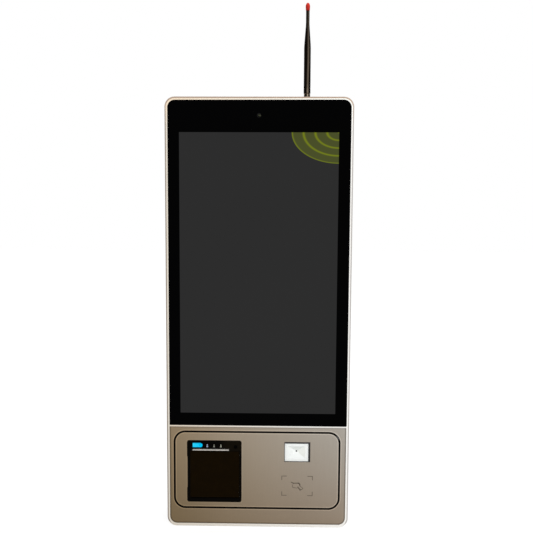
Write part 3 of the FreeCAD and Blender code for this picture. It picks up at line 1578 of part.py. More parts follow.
def paper_web():
    """The paper's path: off the roll's back, round the head's guide, up the nip and out of the slot."""
    half = float(s.paper_thickness) / 2
    roll = (float(roll_axis[0]), float(roll_axis[1]))
    guide = (float(guide_axis[0]), float(guide_axis[1]))
    roll_r = float(s.roll_radius) + float(s.motion_gap) + half
    guide_r = float(s.head_guide_radius) + half
    bend_r = float(s.paper_bend_radius)
    across = (guide[0] - roll[0], guide[1] - roll[1])
    distance = math.hypot(*across)
    lean = math.atan2(across[1], across[0]) - math.acos((roll_r + guide_r) / distance)
    middle_y = float(web_front) + half
    exit_z = float(paper_exit_height)
    bend = (middle_y - bend_r, exit_z - bend_r)

    def on(centre, radius, angle):
        return FreeCAD.Vector(0, centre[0] + radius * math.cos(angle), centre[1] + radius * math.sin(angle))

    def side(shift):
        """One face of the paper; shift is positive on the side that faced out on the roll."""
        tangent = on(roll, roll_r + shift, lean)
        landing = on(guide, guide_r - shift, lean + math.pi)
        turn = (lean + math.pi + math.pi) / 2
        level = on(guide, guide_r - shift, math.pi)
        start = on(bend, bend_r + shift, 0)
        halfway = on(bend, bend_r + shift, math.pi / 4)
        top = on(bend, bend_r + shift, math.pi / 2)
        end = FreeCAD.Vector(0, float(s.paper_end), top.z)
        return [Part.LineSegment(tangent, landing), Part.Arc(landing, on(guide, guide_r - shift, turn), level),
                Part.LineSegment(level, start), Part.Arc(start, halfway, top), Part.LineSegment(top, end)]

    outer = side(half)
    inner = side(-half)
    edges = [curve.toShape() for curve in outer + inner]
    edges.append(Part.LineSegment(outer[0].StartPoint, inner[0].StartPoint).toShape())
    edges.append(Part.LineSegment(outer[-1].EndPoint, inner[-1].EndPoint).toShape())
    face = Part.Face(Part.Wire(Part.__sortEdges__(edges)))
    solid = face.extrude(FreeCAD.Vector(float(s.paper_width), 0, 0))
    solid.translate(FreeCAD.Vector(float(paper_left), 0, 0))
    node("paper_web", feature(solid))


def tear_bar():
    front = bezel_front + 1.2
    pitch = s.tear_bar_pitch
    low = slot_top - s.tear_bar_height
    root = low + 0.9
    left = slot_left + 0.3
    count = int((float(slot_right) - float(slot_left) - 0.6) / float(pitch))
    outline = [(left, slot_top)]
    for tooth in range(count):
        outline.append((left + pitch * tooth, root))
        outline.append((left + pitch * (tooth + 0.5), low))
    outline.append((left + pitch * count, root))
    outline.append((left + pitch * count, slot_top))
    node("tear_bar", pad("y", front, front + s.tear_bar_thickness, outline))


# Release button with its spring, and the latch lever that it tips
latch_axis = (s.latch_back, latch_height)
latch_left = arm_left
latch_right = latch_left + s.latch_thickness
stem_spot = (stem_x, button_middle)
stem_end = s.latch_back - 1.3
flange_at = face_back + s.motion_gap


def release_button():
    flange_end = flange_at + s.button_flange_thickness
    cap = bullet(bezel_front - s.button_proud, flange_at + 0.3, 0)
    half = s.button_height / 2 - 0.6
    flange = box(button_left - s.button_flange, button_right + s.button_flange, flange_at, flange_end,
                 button_middle - half, button_middle + half)
    stem = rod("y", flange_end - 0.2, stem_end, stem_spot, s.stem_radius)
    node("release_button", fuse(cap, flange, stem))


def release_spring():
    start = float(flange_at + s.button_flange_thickness) + 0.35
    # Drawn at the length that it has when the button is fully pressed, so it can ride with it.
    end = float(s.bridge_back - s.button_travel) - 0.35
    radius, wire = float(s.spring_radius), float(s.spring_wire_radius)
    turns = float(s.spring_turns)
    helix = Part.makeHelix((end - start) / turns, end - start, radius)
    ring = Part.Wire([Part.makeCircle(wire, FreeCAD.Vector(radius, 0, 0), FreeCAD.Vector(0, 1, 0))])
    solid = Part.Wire(helix.Edges).makePipeShell([ring], True, True)
    solid.rotate(FreeCAD.Vector(), FreeCAD.Vector(1, 0, 0), -90)
    solid.translate(FreeCAD.Vector(float(stem_x), start, float(button_middle)))
    node("release_spring", feature(solid))


def lid_latch():
    y, z = latch_axis
    nose_front = s.latch_nose_front
    nose_back = nose_front + s.latch_nose_width
    arm = pad("x", latch_left, latch_right,
              [(nose_front, latch_nose_bottom), (nose_back, latch_nose_bottom), (nose_back + 0.6, z - 3.5),
               (y + 1, z - 3), (y, z + 3), (nose_front, z - 1.5)])
    head_front_y = stem_end + s.motion_gap
    head_back_y = head_front_y + 2
    top = button_middle + 2
    upright = pad("x", latch_left, latch_right, [(y - 2, z), (head_front_y, top), (head_back_y, top), (y + 2, z)])
    boss = rod("x", latch_left, latch_right, latch_axis, s.latch_boss_radius)
    pusher = box(latch_left, stem_x + s.stem_radius + 1, head_front_y, head_back_y, top - 2, top)
    bore = rod("x", latch_left - 1, latch_right + 1, latch_axis, s.latch_pin_radius + s.running_gap)
    node("lid_latch", cut(fuse(arm, upright, boss, pusher), bore))


# Code scanner and card reader, behind the door
rim_back = door_back + s.scanner_wall
reflector_x = (reflector_left + reflector_right) / 2
reflector_z = (reflector_bottom + reflector_top) / 2
reflector_back = rim_back + s.reflector_depth + 2


def scanner_housing():
    margin = s.scanner_margin
    wall = s.scanner_wall
    x0, x1 = scan_left - margin, scan_right + margin
    z0, z1 = scan_bottom - margin, scan_top + margin
    back = door_back + s.scanner_depth
    case = box(x0, x1, door_back, back, z0, z1)
    hollow = box(x0 + wall, x1 - wall, rim_back, back + 1, z0 + wall, z1 - wall)
    window = box(reflector_left, reflector_right, door_back - 1, rim_back + 1, reflector_bottom,
                 reflector_top)
    node("scanner_housing", cut(case, hollow, window))


def scanner_reflector():
    edge = 1.2
    block = box(reflector_left - edge, reflector_right + edge, rim_back, reflector_back,
                reflector_bottom - edge, reflector_top + edge)
    funnel = doc.addObject("Part::Wedge", "Funnel")
    border, hole = s.reflector_border, s.reflector_hole
    bind(funnel, "Xmin", reflector_left + border)
    bind(funnel, "Xmax", reflector_right - border)
    bind(funnel, "Zmin", reflector_bottom + border)
    bind(funnel, "Zmax", reflector_top - border)
    bind(funnel, "Ymin", rim_back)
    bind(funnel, "Ymax", rim_back + s.reflector_depth)
    bind(funnel, "X2min", reflector_x - hole)
    bind(funnel, "X2max", reflector_x + hole)
    bind(funnel, "Z2min", reflector_z - hole)
    bind(funnel, "Z2max", reflector_z + hole)
    hole_cut = rod("y", rim_back + 1, reflector_back + 1, (reflector_x, reflector_z), hole)
    node("scanner_reflector", cut(block, funnel, hole_cut))


def scanner_engine():
    lens = rod("y", rim_back + s.reflector_depth + 0.2, reflector_back + 1, (reflector_x, reflector_z),
               s.reflector_hole - s.running_gap)
    half_x, half_z = s.engine_width / 2, s.engine_height / 2
    board_at = door_back + s.scanner_depth - 4
    core = box(reflector_x - half_x, reflector_x + half_x, reflector_back, board_at, reflector_z - half_z,
               reflector_z + half_z)
    margin = s.scanner_margin - s.scanner_wall
    board = box(scan_left - margin, scan_right + margin, board_at, board_at + s.engine_board_thickness,
                scan_bottom - margin, scan_top + margin)
    node("scanner_engine", fuse(lens, core, board))


def nfc_reader():
    x0, z0 = reader_left, reader_bottom
    case = rounded(slab(x0, x0 + s.reader_width, door_back, door_back + s.reader_depth, z0, z0 + s.reader_height),
                   3, along_y)
    back = door_back + s.reader_depth
    plug_left, plug_bottom = x0 + s.reader_plug_inset, z0 + s.reader_plug_rise
    plug = box(plug_left, plug_left + s.reader_plug_width, back, back + s.reader_plug_depth, plug_bottom,
               plug_bottom + s.reader_plug_height)
    node("nfc_reader", fuse(case, plug))


BUILDERS = [
    front_frame, cover_glass, divider_trim, lower_fascia, door_buffers, display_panel, display_rails,
    camera_module, rear_housing, mounting_inserts, housing_screws, main_board, heat_sink, board_standoffs,
    power_supply, speakers, power_inlet, power_rocker, network_socket, usb_sockets,
    antenna_socket, antenna_base, antenna_hinge_pin, antenna_whip, antenna_tip,
    service_door, hinge_brackets, hinge_pins, door_hinge_leaves, door_strike, lock_barrel, lock_plug, lock_cam,
    printer_bezel, printer_lid, lid_hinge_pin, status_lights, key_board, feed_key, platen_roller, platen_shaft,
    platen_gear, motor_pinion, feed_motor, printer_chassis, paper_bucket, paper_roll, roll_core, thermal_head,
    paper_web, tear_bar, release_button, release_spring, lid_latch, scanner_housing, scanner_reflector,
    scanner_engine, nfc_reader,
]

for build in BUILDERS:
    build()
doc.recompute()

for item in doc.Objects:
    if "Invalid" in item.State or "Error" in item.State:
        raise RuntimeError(f"{item.Name} ({item.Label}) did not recompute: {item.State}")
for item in nodes:
    if item.Shape.isNull() or not item.Shape.isValid():
        raise RuntimeError(f"{item.Label} has no valid shape")

os.makedirs("parts", exist_ok=True)
for item in nodes:
    item.Shape.exportStep(f"parts/{item.Label}.step")
    print(item.Label, len(item.Shape.Solids), round(item.Shape.Volume, 1))
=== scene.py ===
import math

import bmesh
import bpy
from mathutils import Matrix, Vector


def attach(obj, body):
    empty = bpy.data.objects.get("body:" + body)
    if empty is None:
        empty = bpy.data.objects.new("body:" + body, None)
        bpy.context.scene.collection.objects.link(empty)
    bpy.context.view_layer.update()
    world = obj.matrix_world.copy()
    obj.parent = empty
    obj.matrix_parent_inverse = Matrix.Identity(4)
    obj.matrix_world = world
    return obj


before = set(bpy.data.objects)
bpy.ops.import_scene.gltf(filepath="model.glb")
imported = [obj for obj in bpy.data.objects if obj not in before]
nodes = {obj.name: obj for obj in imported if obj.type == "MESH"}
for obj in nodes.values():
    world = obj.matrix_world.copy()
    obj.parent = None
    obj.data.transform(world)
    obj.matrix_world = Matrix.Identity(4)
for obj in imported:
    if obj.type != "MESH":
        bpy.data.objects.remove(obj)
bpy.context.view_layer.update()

MM = 0.001
# The body's front plane (y) and lower edge (z)
FRONT = -0.095
BOTTOM = -0.463

# Rounded rectangles that the paints follow: middle and half size in x and z, and corner radius
GLASS_EDGE = ((0.0, 0.0), (0.1913, 0.4560), 0.0155)
DOOR_GROOVE = ((-0.0018, BOTTOM + 0.12745), (0.17905, 0.08495), 0.0234)
PRINTER_OPENING = ((-0.0943, BOTTOM + 0.1244), (0.0596, 0.0690), 0.0045)
SCANNER_WINDOW = ((0.0848, BOTTOM + 0.168), (0.0310, 0.0250), 0.002)
BUTTON_MARK = ((-0.1254, BOTTOM + 0.1832), (0.0009, 0.0009), 0.0009)
# Edges of the lit picture on the screen
LCD_LEFT, LCD_RIGHT = -0.1671, 0.1668
LCD_LOW, LCD_HIGH = BOTTOM + 0.2545, BOTTOM + 0.8526
# Middle of the camera's glint and of the antenna's foot
GLINT_X, GLINT_Z = 0.0012, BOTTOM + 0.8874
ANTENNA_X = 0.1034

MOULDED_BLACK = (0.010, 0.009, 0.009)
BEZEL_BLACK = (0.0011, 0.0008, 0.0004)
ANTENNA_BLACK = (0.0032, 0.0014, 0.0004)
# Colour of the painted highlight on the antenna
ANTENNA_HIGHLIGHT = (1.0, 0.79, 0.58)
LENS_BLACK = (0.002, 0.002, 0.002)
COAT_ROUGHNESS = 0.1


def at(x, depth, height):
    """A point given in millimetres from the body's middle, front plane and lower edge."""
    return Vector((x * MM, FRONT + depth * MM, BOTTOM + height * MM))


# Materials
class Graph:
    """A material's node tree, with short ways to add the nodes used here."""

    def __init__(self, name, color, roughness, metallic=0.0, specular=0.5, coat=0.0):
        self.material = bpy.data.materials.new(name)
        self.material.use_nodes = True
        self.nodes = self.material.node_tree.nodes
        self.links = self.material.node_tree.links
        self.shader = self.nodes["Principled BSDF"]
        self.shader.inputs["Base Color"].default_value = (*color, 1)
        self.shader.inputs["Roughness"].default_value = roughness
        self.shader.inputs["Metallic"].default_value = metallic
        self.shader.inputs["Specular IOR Level"].default_value = specular
        self.shader.inputs["Coat Weight"].default_value = coat
        self.shader.inputs["Coat Roughness"].default_value = COAT_ROUGHNESS
        self.place = self.nodes.new("ShaderNodeTexCoord").outputs["Object"]
        self.color = color
        self.roughness = roughness

    def link(self, output, target):
        self.links.new(output, target)

    def noise(self, scale, detail=3.0, stretch=(1, 1, 1)):
        mapping = self.nodes.new("ShaderNodeMapping")
        mapping.inputs["Scale"].default_value = stretch
        self.link(self.place, mapping.inputs["Vector"])
        texture = self.nodes.new("ShaderNodeTexNoise")
        texture.inputs["Scale"].default_value = scale
        texture.inputs["Detail"].default_value = detail
        self.link(mapping.outputs["Vector"], texture.inputs["Vector"])
        return texture.outputs["Fac"]

    def axis(self, letter):
        split = self.nodes.new("ShaderNodeSeparateXYZ")
        self.link(self.place, split.inputs["Vector"])
        return split.outputs[letter]

    def facing(self, letter):
        """How far the surface itself faces along an axis."""
        split = self.nodes.new("ShaderNodeSeparateXYZ")
        normal = self.nodes.new("ShaderNodeNewGeometry").outputs["True Normal"]
        self.link(normal, split.inputs["Vector"])
        return split.outputs[letter]

    def between(self, value, low, high, out_low=0.0, out_high=1.0, smooth=False):
        """Turns low to high into out_low to out_high, and stays at these beyond."""
        remap = self.nodes.new("ShaderNodeMapRange")
        if smooth:
            remap.interpolation_type = "SMOOTHSTEP"
        self.link(value, remap.inputs["Value"])
        remap.inputs["From Min"].default_value = low
        remap.inputs["From Max"].default_value = high
        remap.inputs["To Min"].default_value = out_low
        remap.inputs["To Max"].default_value = out_high
        return remap.outputs["Result"]

    def rightward(self, low, high, *ends):
        """From one x to another, in metres."""
        return self.between(self.axis("X"), low, high, *ends)

    def inward(self, low, high, *ends):
        """From one depth to another, in metres behind the front plane."""
        return self.between(self.axis("Y"), FRONT + low, FRONT + high, *ends)

    def upward(self, low, high, *ends):
        """From one height to another, in metres above the body's lower edge."""
        return self.between(self.axis("Z"), BOTTOM + low, BOTTOM + high, *ends)

    def math(self, operation, first, second=0.0):
        node = self.nodes.new("ShaderNodeMath")
        node.operation = operation
        for socket, value in zip(node.inputs, (first, second)):
            if isinstance(value, (int, float)):
                socket.default_value = value
            else:
                self.link(value, socket)
        return node.outputs["Value"]

    def product(self, first, *others):
        for other in others:
            first = self.math("MULTIPLY", first, other)
        return first

    def either(self, first, second):
        return self.math("MAXIMUM", first, second)

    def apart(self, first, second):
        """The distance between two values."""
        return self.math("ABSOLUTE", self.math("SUBTRACT", first, second))

    def beyond(self, middle, half, radius):
        """The distance out from a rounded rectangle of x and z; inside it, -radius at the least."""
        outer = self.nodes.new("ShaderNodeCombineXYZ")
        for letter, centre, reach in zip("XZ", middle, half):
            past = self.math("SUBTRACT", self.apart(self.axis(letter), centre), reach - radius)
            self.link(self.math("MAXIMUM", past, 0.0), outer.inputs[letter])
        length = self.nodes.new("ShaderNodeVectorMath")
        length.operation = "LENGTH"
        self.link(outer.outputs["Vector"], length.inputs[0])
        return self.math("SUBTRACT", length.outputs["Value"], radius)

    def mix(self, factor, first, second):
        node = self.nodes.new("ShaderNodeMix")
        node.data_type = "RGBA"
        self.link(factor, node.inputs["Factor"])
        colors = [item for item in node.inputs if item.type == "RGBA"]
        for socket, value in zip(colors, (first, second)):
            if isinstance(value, tuple):
                socket.default_value = (*value, 1)
            else:
                self.link(value, socket)
        return next(item for item in node.outputs if item.type == "RGBA")

    def scaled(self, color, level):
        """A colour times a number."""
        node = self.nodes.new("ShaderNodeVectorMath")
        node.operation = "SCALE"
        self.link(color, node.inputs[0])
        self.link(level, node.inputs["Scale"])
        return node.outputs["Vector"]

    def painted(self):
        """What the base colour is linked to so far."""
        return self.shader.inputs["Base Color"].links[0].from_socket

    def paint(self, color):
        self.link(color, self.shader.inputs["Base Color"])
        return self

    def glow(self, color, strength):
        """Light that the surface gives; the strength is a number or an output."""
        self.shader.inputs["Emission Color"].default_value = (*color, 1)
        if isinstance(strength, (int, float)):
            self.shader.inputs["Emission Strength"].default_value = strength
        else:
            self.link(strength, self.shader.inputs["Emission Strength"])

    def vary(self, scale, amount, stretch=(1, 1, 1)):
        """Colour variation round the base colour."""
        dark = tuple(channel * (1 - amount) for channel in self.color)
        light = tuple(min(1.0, channel * (1 + amount)) for channel in self.color)
        factor = self.between(self.noise(scale, 3.0, stretch), 0.3, 0.7)
        return self.paint(self.mix(factor, dark, light))

    def uneven(self, scale, amount, stretch=(1, 1, 1)):
        """Roughness variation round the base roughness."""
        least = max(0.02, self.roughness - amount)
        most = min(1.0, self.roughness + amount)
        value = self.between(self.noise(scale, 4.0, stretch), 0.3, 0.7, least, most)
        self.link(value, self.shader.inputs["Roughness"])
        return self

    def grain(self, scale, distance, stretch=(1, 1, 1)):
        """Fine bumps, distance metres high."""
        node = self.nodes.new("ShaderNodeBump")
        node.inputs["Distance"].default_value = distance
        node.inputs["Strength"].default_value = 1.0
        self.link(self.noise(scale, 4.0, stretch), node.inputs["Height"])
        self.link(node.outputs["Normal"], self.shader.inputs["Normal"])
        return self


def plastic(name, color, roughness, grain_scale=1600, depth=0.00004, amount=0.12, specular=0.5):
    graph = Graph(name, color, roughness, specular=specular)
    return graph.vary(90, amount).uneven(240, 0.06).grain(grain_scale, depth)


def metal(name, color, roughness):
    drawn = (1, 1, 12)
    graph = Graph(name, color, roughness, metallic=1.0)
    return graph.vary(160, 0.10, drawn).uneven(220, 0.08, drawn).grain(900, 0.00002, drawn)


def fascia_paint():
    """Champagne satin on the face, with a painted light gradient: darker and golden at the lower
    left, lighter and silvery at the upper right.
    """
    graph = Graph("fascia_metal", (0.27, 0.22, 0.16), 0.40, metallic=0.55, specular=0.2)
    # Painted light gradient: darker and golden at the lower left, lighter and silvery at the upper
    # right.
    right = graph.rightward(-0.191, 0.191)
    lower = graph.mix(right, (0.182, 0.128, 0.0665), (0.290, 0.229, 0.170))
    upper = graph.mix(right, (0.270, 0.198, 0.118), (0.398, 0.366, 0.322))
    tone = graph.mix(graph.upward(0.007, 0.223), lower, upper)
    # Painted reflection: broad faint vertical bands; the brushed streaks and the flakes are the
    # paint's own.
    band = graph.between(graph.noise(5.5, 1.0, (1, 1, 0.05)), 0.35, 0.65, 0.96, 1.04)
    brush = graph.between(graph.noise(30, 3.0, (60, 60, 1.0)), 0.3, 0.7, 0.975, 1.025)
    flake = graph.between(graph.noise(4200, 2.0), 0.3, 0.75, 0.97, 1.05)
    # Painted highlights, as on rolled edges, run along both sides of the door's groove and round
    # the printer, and a painted dark margin widens the groove's shade.
    groove = graph.math("ABSOLUTE", graph.beyond(*DOOR_GROOVE))
    groove_highlight_and_shade = graph.between(groove, 0.0026, 0.0050, 1.55, 1.0, smooth=True)
    groove_highlight_and_shade = graph.product(groove_highlight_and_shade, graph.between(groove, 0.0020, 0.0026, 0.10, 1.0))
    opening = graph.apart(graph.beyond(*PRINTER_OPENING), 0.0014)
    printer_rim_highlight = graph.between(opening, 0.0004, 0.0018, 1.17, 1.0, smooth=True)
    # The rim is in the shadow of the frame, and its top in that of the divider.
    rim = graph.between(graph.beyond(*GLASS_EDGE), -0.0036, -0.0010, 1.0, 0.50, smooth=True)
    top = graph.upward(0.2205, 0.2220, 1.0, 0.70, True)
    tone = graph.scaled(tone, graph.product(band, brush, flake, groove_highlight_and_shade, rim, printer_rim_highlight, top))
    # Painted shade: walls not facing the front, and all that lies deeper than the face, are painted
    # near black, but the walls on the left and below the scanner's window are painted paler, as
    # painted light.
    shaded_walls = graph.between(graph.facing("Y"), -0.80, -0.60)
    deep = graph.inward(0.0012, 0.0016)
    tone = graph.mix(graph.either(shaded_walls, deep), tone, (0.0045, 0.003, 0.0015))
    window = graph.between(graph.beyond(*SCANNER_WINDOW), 0.0, 0.0002, 1.0, 0.0)
    lit = graph.either(graph.between(graph.facing("Z"), 0.5, 0.7),
                       graph.between(graph.facing("X"), 0.5, 0.7))
    tone = graph.mix(graph.product(window, lit), tone, (0.20, 0.18, 0.155))
    # The back faces are a plain dark grey.
    back = graph.product(deep, graph.between(graph.facing("Y"), 0.60, 0.80))
    graph.paint(graph.mix(back, tone, (0.020, 0.019, 0.018)))
    return graph.uneven(180, 0.05, (20, 20, 1)).grain(3200, 0.00001)


def frame_paint():
    """Satin champagne metal, painted as lit and shaded copies: a bright face beside the glass, a
    darker outer rim of painted shade round the rounded outside, both painted lighter towards the
    right and in other tones along the top.
    """
    graph = Graph("frame_metal", (0.8, 0.75, 0.66), 0.36, metallic=0.35, specular=0.3)
    away = graph.beyond(*GLASS_EDGE)
    side = graph.rightward(-0.19, 0.19)
    high = graph.between(graph.axis("Z"), 0.40, 0.46)
    # Painted light and shade: the outer rim and the face, each lighter towards the right, with
    # other tones along the top.
    edge = graph.mix(side, (0.300, 0.250, 0.205), (0.53, 0.50, 0.475))
    edge = graph.mix(high, edge, (0.45, 0.335, 0.255))
    face = graph.mix(side, (0.74, 0.68, 0.59), (1.0, 0.98, 0.94))
    face = graph.mix(high, face, graph.mix(side, (0.90, 0.74, 0.55), (1.0, 1.0, 0.93)))
    # On the lower edge the outer rim keeps the bright face colour throughout, as painted light.
    outer = graph.product(graph.between(away, 0.0029, 0.0037, smooth=True),
                          graph.upward(0.006, 0.012, 0.1, 1.0))
    tone = graph.mix(outer, face, edge)
    # A near-black strip is painted along the glass, widest on the right.
    glass_side_strip = graph.math("SUBTRACT", away, graph.between(side, 0.0, 1.0, 0.0, 0.0008))
    glass_side_strip = graph.product(graph.between(glass_side_strip, -0.0001, 0.0001, 1.0, 0.0),
                           graph.upward(0.2275, 0.2285))
    tone = graph.mix(glass_side_strip, tone, (0.004, 0.004, 0.004))
    flake = graph.between(graph.noise(3800, 2.0), 0.3, 0.75, 0.96, 1.05)
    graph.paint(graph.scaled(tone, flake))
    return graph.uneven(160, 0.06).grain(3200, 0.00001)


def trim_paint():
    """Polished strip with painted shade: darker and warmer towards the left and along its lower
    edge; a near-black line runs along its top by the glass.
    """
    polished = (0.80, 0.78, 0.745)
    drawn = (12, 1, 1)
    graph = Graph("trim_metal", polished, 0.32, metallic=0.8)
    # Painted shade: darker and warmer towards the left, and darker along the lower edge.
    tone = graph.mix(graph.rightward(-0.19, 0.10), (0.72, 0.62, 0.50), polished)
    low = graph.upward(0.2230, 0.2247, 0.55, 1.0, True)
    streak = graph.between(graph.noise(160, 3.0, drawn), 0.3, 0.7, 0.96, 1.03)
    tone = graph.scaled(tone, graph.product(low, streak))
    graph.paint(graph.mix(graph.upward(0.2264, 0.2268), tone, (0.012, 0.011, 0.010)))
    return graph.uneven(220, 0.06, drawn).grain(900, 0.00001, drawn)


def bezel_paint():
    """Black plastic with a faint warm painted highlight at its upper right."""
    graph = plastic("bezel_plastic", BEZEL_BLACK, 0.38, grain_scale=900, depth=0.00003,
                    specular=0.02)
    upper_right_highlight = graph.product(graph.rightward(-0.085, -0.065), graph.upward(0.168, 0.174))
    return graph.paint(graph.mix(upper_right_highlight, BEZEL_BLACK, (0.0056, 0.0038, 0.0016)))


def antenna_paint():
    """Warm black moulding with a soft painted highlight down one side, strongest at the foot."""
    graph = Graph("antenna_rubber", ANTENNA_BLACK, 0.42, specular=0.015)
    aside = graph.apart(graph.facing("X"), graph.upward(0.940, 1.020, 0.08, 0.25))
    band = graph.between(aside, 0.04, 0.38, 1.0, 0.0, smooth=True)
    foot = graph.upward(0.940, 0.965, 0.32, 0.135)
    upper = graph.upward(1.000, 1.070, 1.0, 0.70)
    graph.paint(graph.mix(graph.product(foot, upper, band), ANTENNA_BLACK, ANTENNA_HIGHLIGHT))
    return graph.uneven(240, 0.06).grain(1600, 0.00003)


def antenna_foot_paint():
    """The same moulding's flat cheeks, with the painted highlight down their middle."""
    graph = Graph("antenna_foot", ANTENNA_BLACK, 0.42, specular=0.015)
    aside = graph.apart(graph.axis("X"), ANTENNA_X)
    band = graph.between(aside, 0.0002, 0.0024, 0.50, 0.0, smooth=True)
    band = graph.product(band, graph.upward(0.9262, 0.9290))
    graph.paint(graph.mix(band, ANTENNA_BLACK, ANTENNA_HIGHLIGHT))
    return graph.uneven(240, 0.06).grain(1600, 0.00003)


def tip_paint():
    """Red cap, deeper red towards its foot, with painted shade on its left side."""
    graph = Graph("antenna_cap", (0.70, 0.03, 0.02), 0.34, specular=0.06)
    tone = graph.mix(graph.upward(1.121, 1.134), (0.42, 0.014, 0.010), (0.72, 0.042, 0.024))
    # Painted shade: darker on the side facing left, lighter on the side facing right.
    tone = graph.scaled(tone, graph.between(graph.facing("X"), -0.7, 0.3, 0.70, 1.10))
    foot = graph.upward(1.1203, 1.1210, 1.0, 0.0)
    graph.paint(graph.mix(foot, tone, (0.004, 0.002, 0.001)))
    return graph.uneven(240, 0.06).grain(1600, 0.00001)


def scanner_paint():
    """Black plastic, paler along the left and lower lips, where the light reaches."""
    graph = Graph("scanner_plastic", MOULDED_BLACK, 0.45)
    lips = graph.either(graph.rightward(0.0580, 0.0590, 1.0, 0.0),
                        graph.upward(0.1466, 0.1476, 1.0, 0.0))
    pale = graph.product(lips, graph.inward(0.0120, 0.0140, 1.0, 0.0))
    graph.paint(graph.mix(pale, MOULDED_BLACK, (0.170, 0.150, 0.128)))
    return graph.uneven(240, 0.06).grain(1600, 0.00004)


def reflector_paint():
    """White funnel with painted light: each of its four sides is painted in its own lit or shaded
    tone, and a glow stands for the light of the scanner's lamps.
    """
    graph = plastic("lit_white", (0.84, 0.86, 0.835), 0.4, depth=0.00001, amount=0.02)
    tone = graph.mix(graph.between(graph.facing("X"), -0.6, -0.1), (0.69, 0.695, 0.63),
                     (0.87, 0.89, 0.87))
    tone = graph.mix(graph.between(graph.facing("Z"), -0.5, -0.15, 1.0, 0.0), tone,
                     (0.74, 0.765, 0.74))
    tone = graph.mix(graph.between(graph.facing("Z"), 0.15, 0.5), tone, (0.80, 0.82, 0.805))
    graph.paint(tone)
    # Painted light: a glow for the light of the scanner's lamps.
    graph.glow((0.95, 1.0, 0.98), 0.17)
    return graph


def button_paint():
    """Translucent blue, brightest on the left, with a faint mark near its round end, painted shade
    along its top edge, a near-black line along its bottom edge and a faint painted glow.
    """
    graph = Graph("blue_plastic", (0.01, 0.66, 1.0), 0.32, specular=0.01)
    tone = graph.mix(graph.rightward(-0.1405, -0.1240), (0.030, 0.72, 1.0), (0.0008, 0.63, 1.0))
    mark = graph.between(graph.beyond(*BUTTON_MARK), 0.0, 0.0006, 1.0, 0.0)
    tone = graph.mix(mark, tone, (0.0, 0.36, 0.62))
    # Painted shade along the top edge, and a near-black line along the bottom edge.
    tone = graph.scaled(tone, graph.upward(0.1860, 0.1870, 1.0, 0.72))
    graph.paint(graph.mix(graph.upward(0.1784, 0.1790, 1.0, 0.0), tone, (0.001, 0.03, 0.06)))
    # Painted light: a faint blue glow.
    graph.glow((0.0, 0.25, 1.0), 0.10)
    return graph.uneven(240, 0.06).grain(1600, 0.00001)


def paper_paint():
    """Warm white with a painted glow; the torn end and the left edge of the strip have painted
    shade from the slot and no glow.
    """
    graph = Graph("paper", (0.93, 0.88, 0.80), 0.85, specular=0.2)
    graph.vary(700, 0.04).grain(2600, 0.00002)
    torn = graph.inward(-0.0032, -0.0026, 1.0, 0.0)
    edge = graph.product(graph.rightward(-0.1414, -0.1408, 1.0, 0.0),
                         graph.inward(0.0060, 0.0080, 1.0, 0.0))
    shaded = graph.either(torn, edge)
    graph.paint(graph.mix(shaded, graph.painted(), (0.06, 0.055, 0.05)))
    # Painted light: the paper glows, but not where it is painted shaded.
    graph.glow((1.0, 0.97, 0.90), graph.between(shaded, 0.0, 1.0, 0.17, 0.0))
    return graph


def lens_paint():
    """Black camera body, with a painted olive glint on its lens, a slanted oval."""
    slope, level = 0.45, 0.89
    half_length, half_width = 0.0034, 0.0019
    graph = Graph("lens", LENS_BLACK, 0.25, specular=0.1)
    aside = graph.math("SUBTRACT", graph.axis("X"), GLINT_X)
    above = graph.math("SUBTRACT", graph.axis("Z"), GLINT_Z)
    along = graph.math("SUBTRACT", graph.product(aside, level), graph.product(above, slope))
    across = graph.math("ADD", graph.product(aside, slope), graph.product(above, level))
    along = graph.math("POWER", graph.math("DIVIDE", along, half_length), 2.0)
    across = graph.math("POWER", graph.math("DIVIDE", across, half_width), 2.0)
    glint = graph.between(graph.math("ADD", along, across), 0.0, 1.3, 1.0, 0.0, smooth=True)
    graph.paint(graph.mix(glint, LENS_BLACK, (0.065, 0.070, 0.038)))
    return graph.uneven(200, 0.04)


def symbol_paint():
    """Lit symbols: the first is bluish, the others warm, the last brightest, all brighter above."""
    graph = Graph("lit_symbol", (0.10, 0.10, 0.10), 0.3)
    graph.vary(500, 0.05)
    warm = graph.rightward(-0.103, -0.101)
    hue = graph.mix(warm, (0.42, 0.56, 0.80), (0.40, 0.40, 0.28))
    graph.link(hue, graph.shader.inputs["Emission Color"])
    first = graph.between(warm, 0.0, 1.0, 1.15, 1.0)
    last = graph.rightward(-0.088, -0.086, 0.62, 1.0)
    outer = graph.either(last, graph.math("SUBTRACT", 1.0, warm))
    above = graph.upward(0.1792, 0.1808, 0.28, 0.75, True)
    graph.link(graph.product(first, outer, above), graph.shader.inputs["Emission Strength"])
    return graph


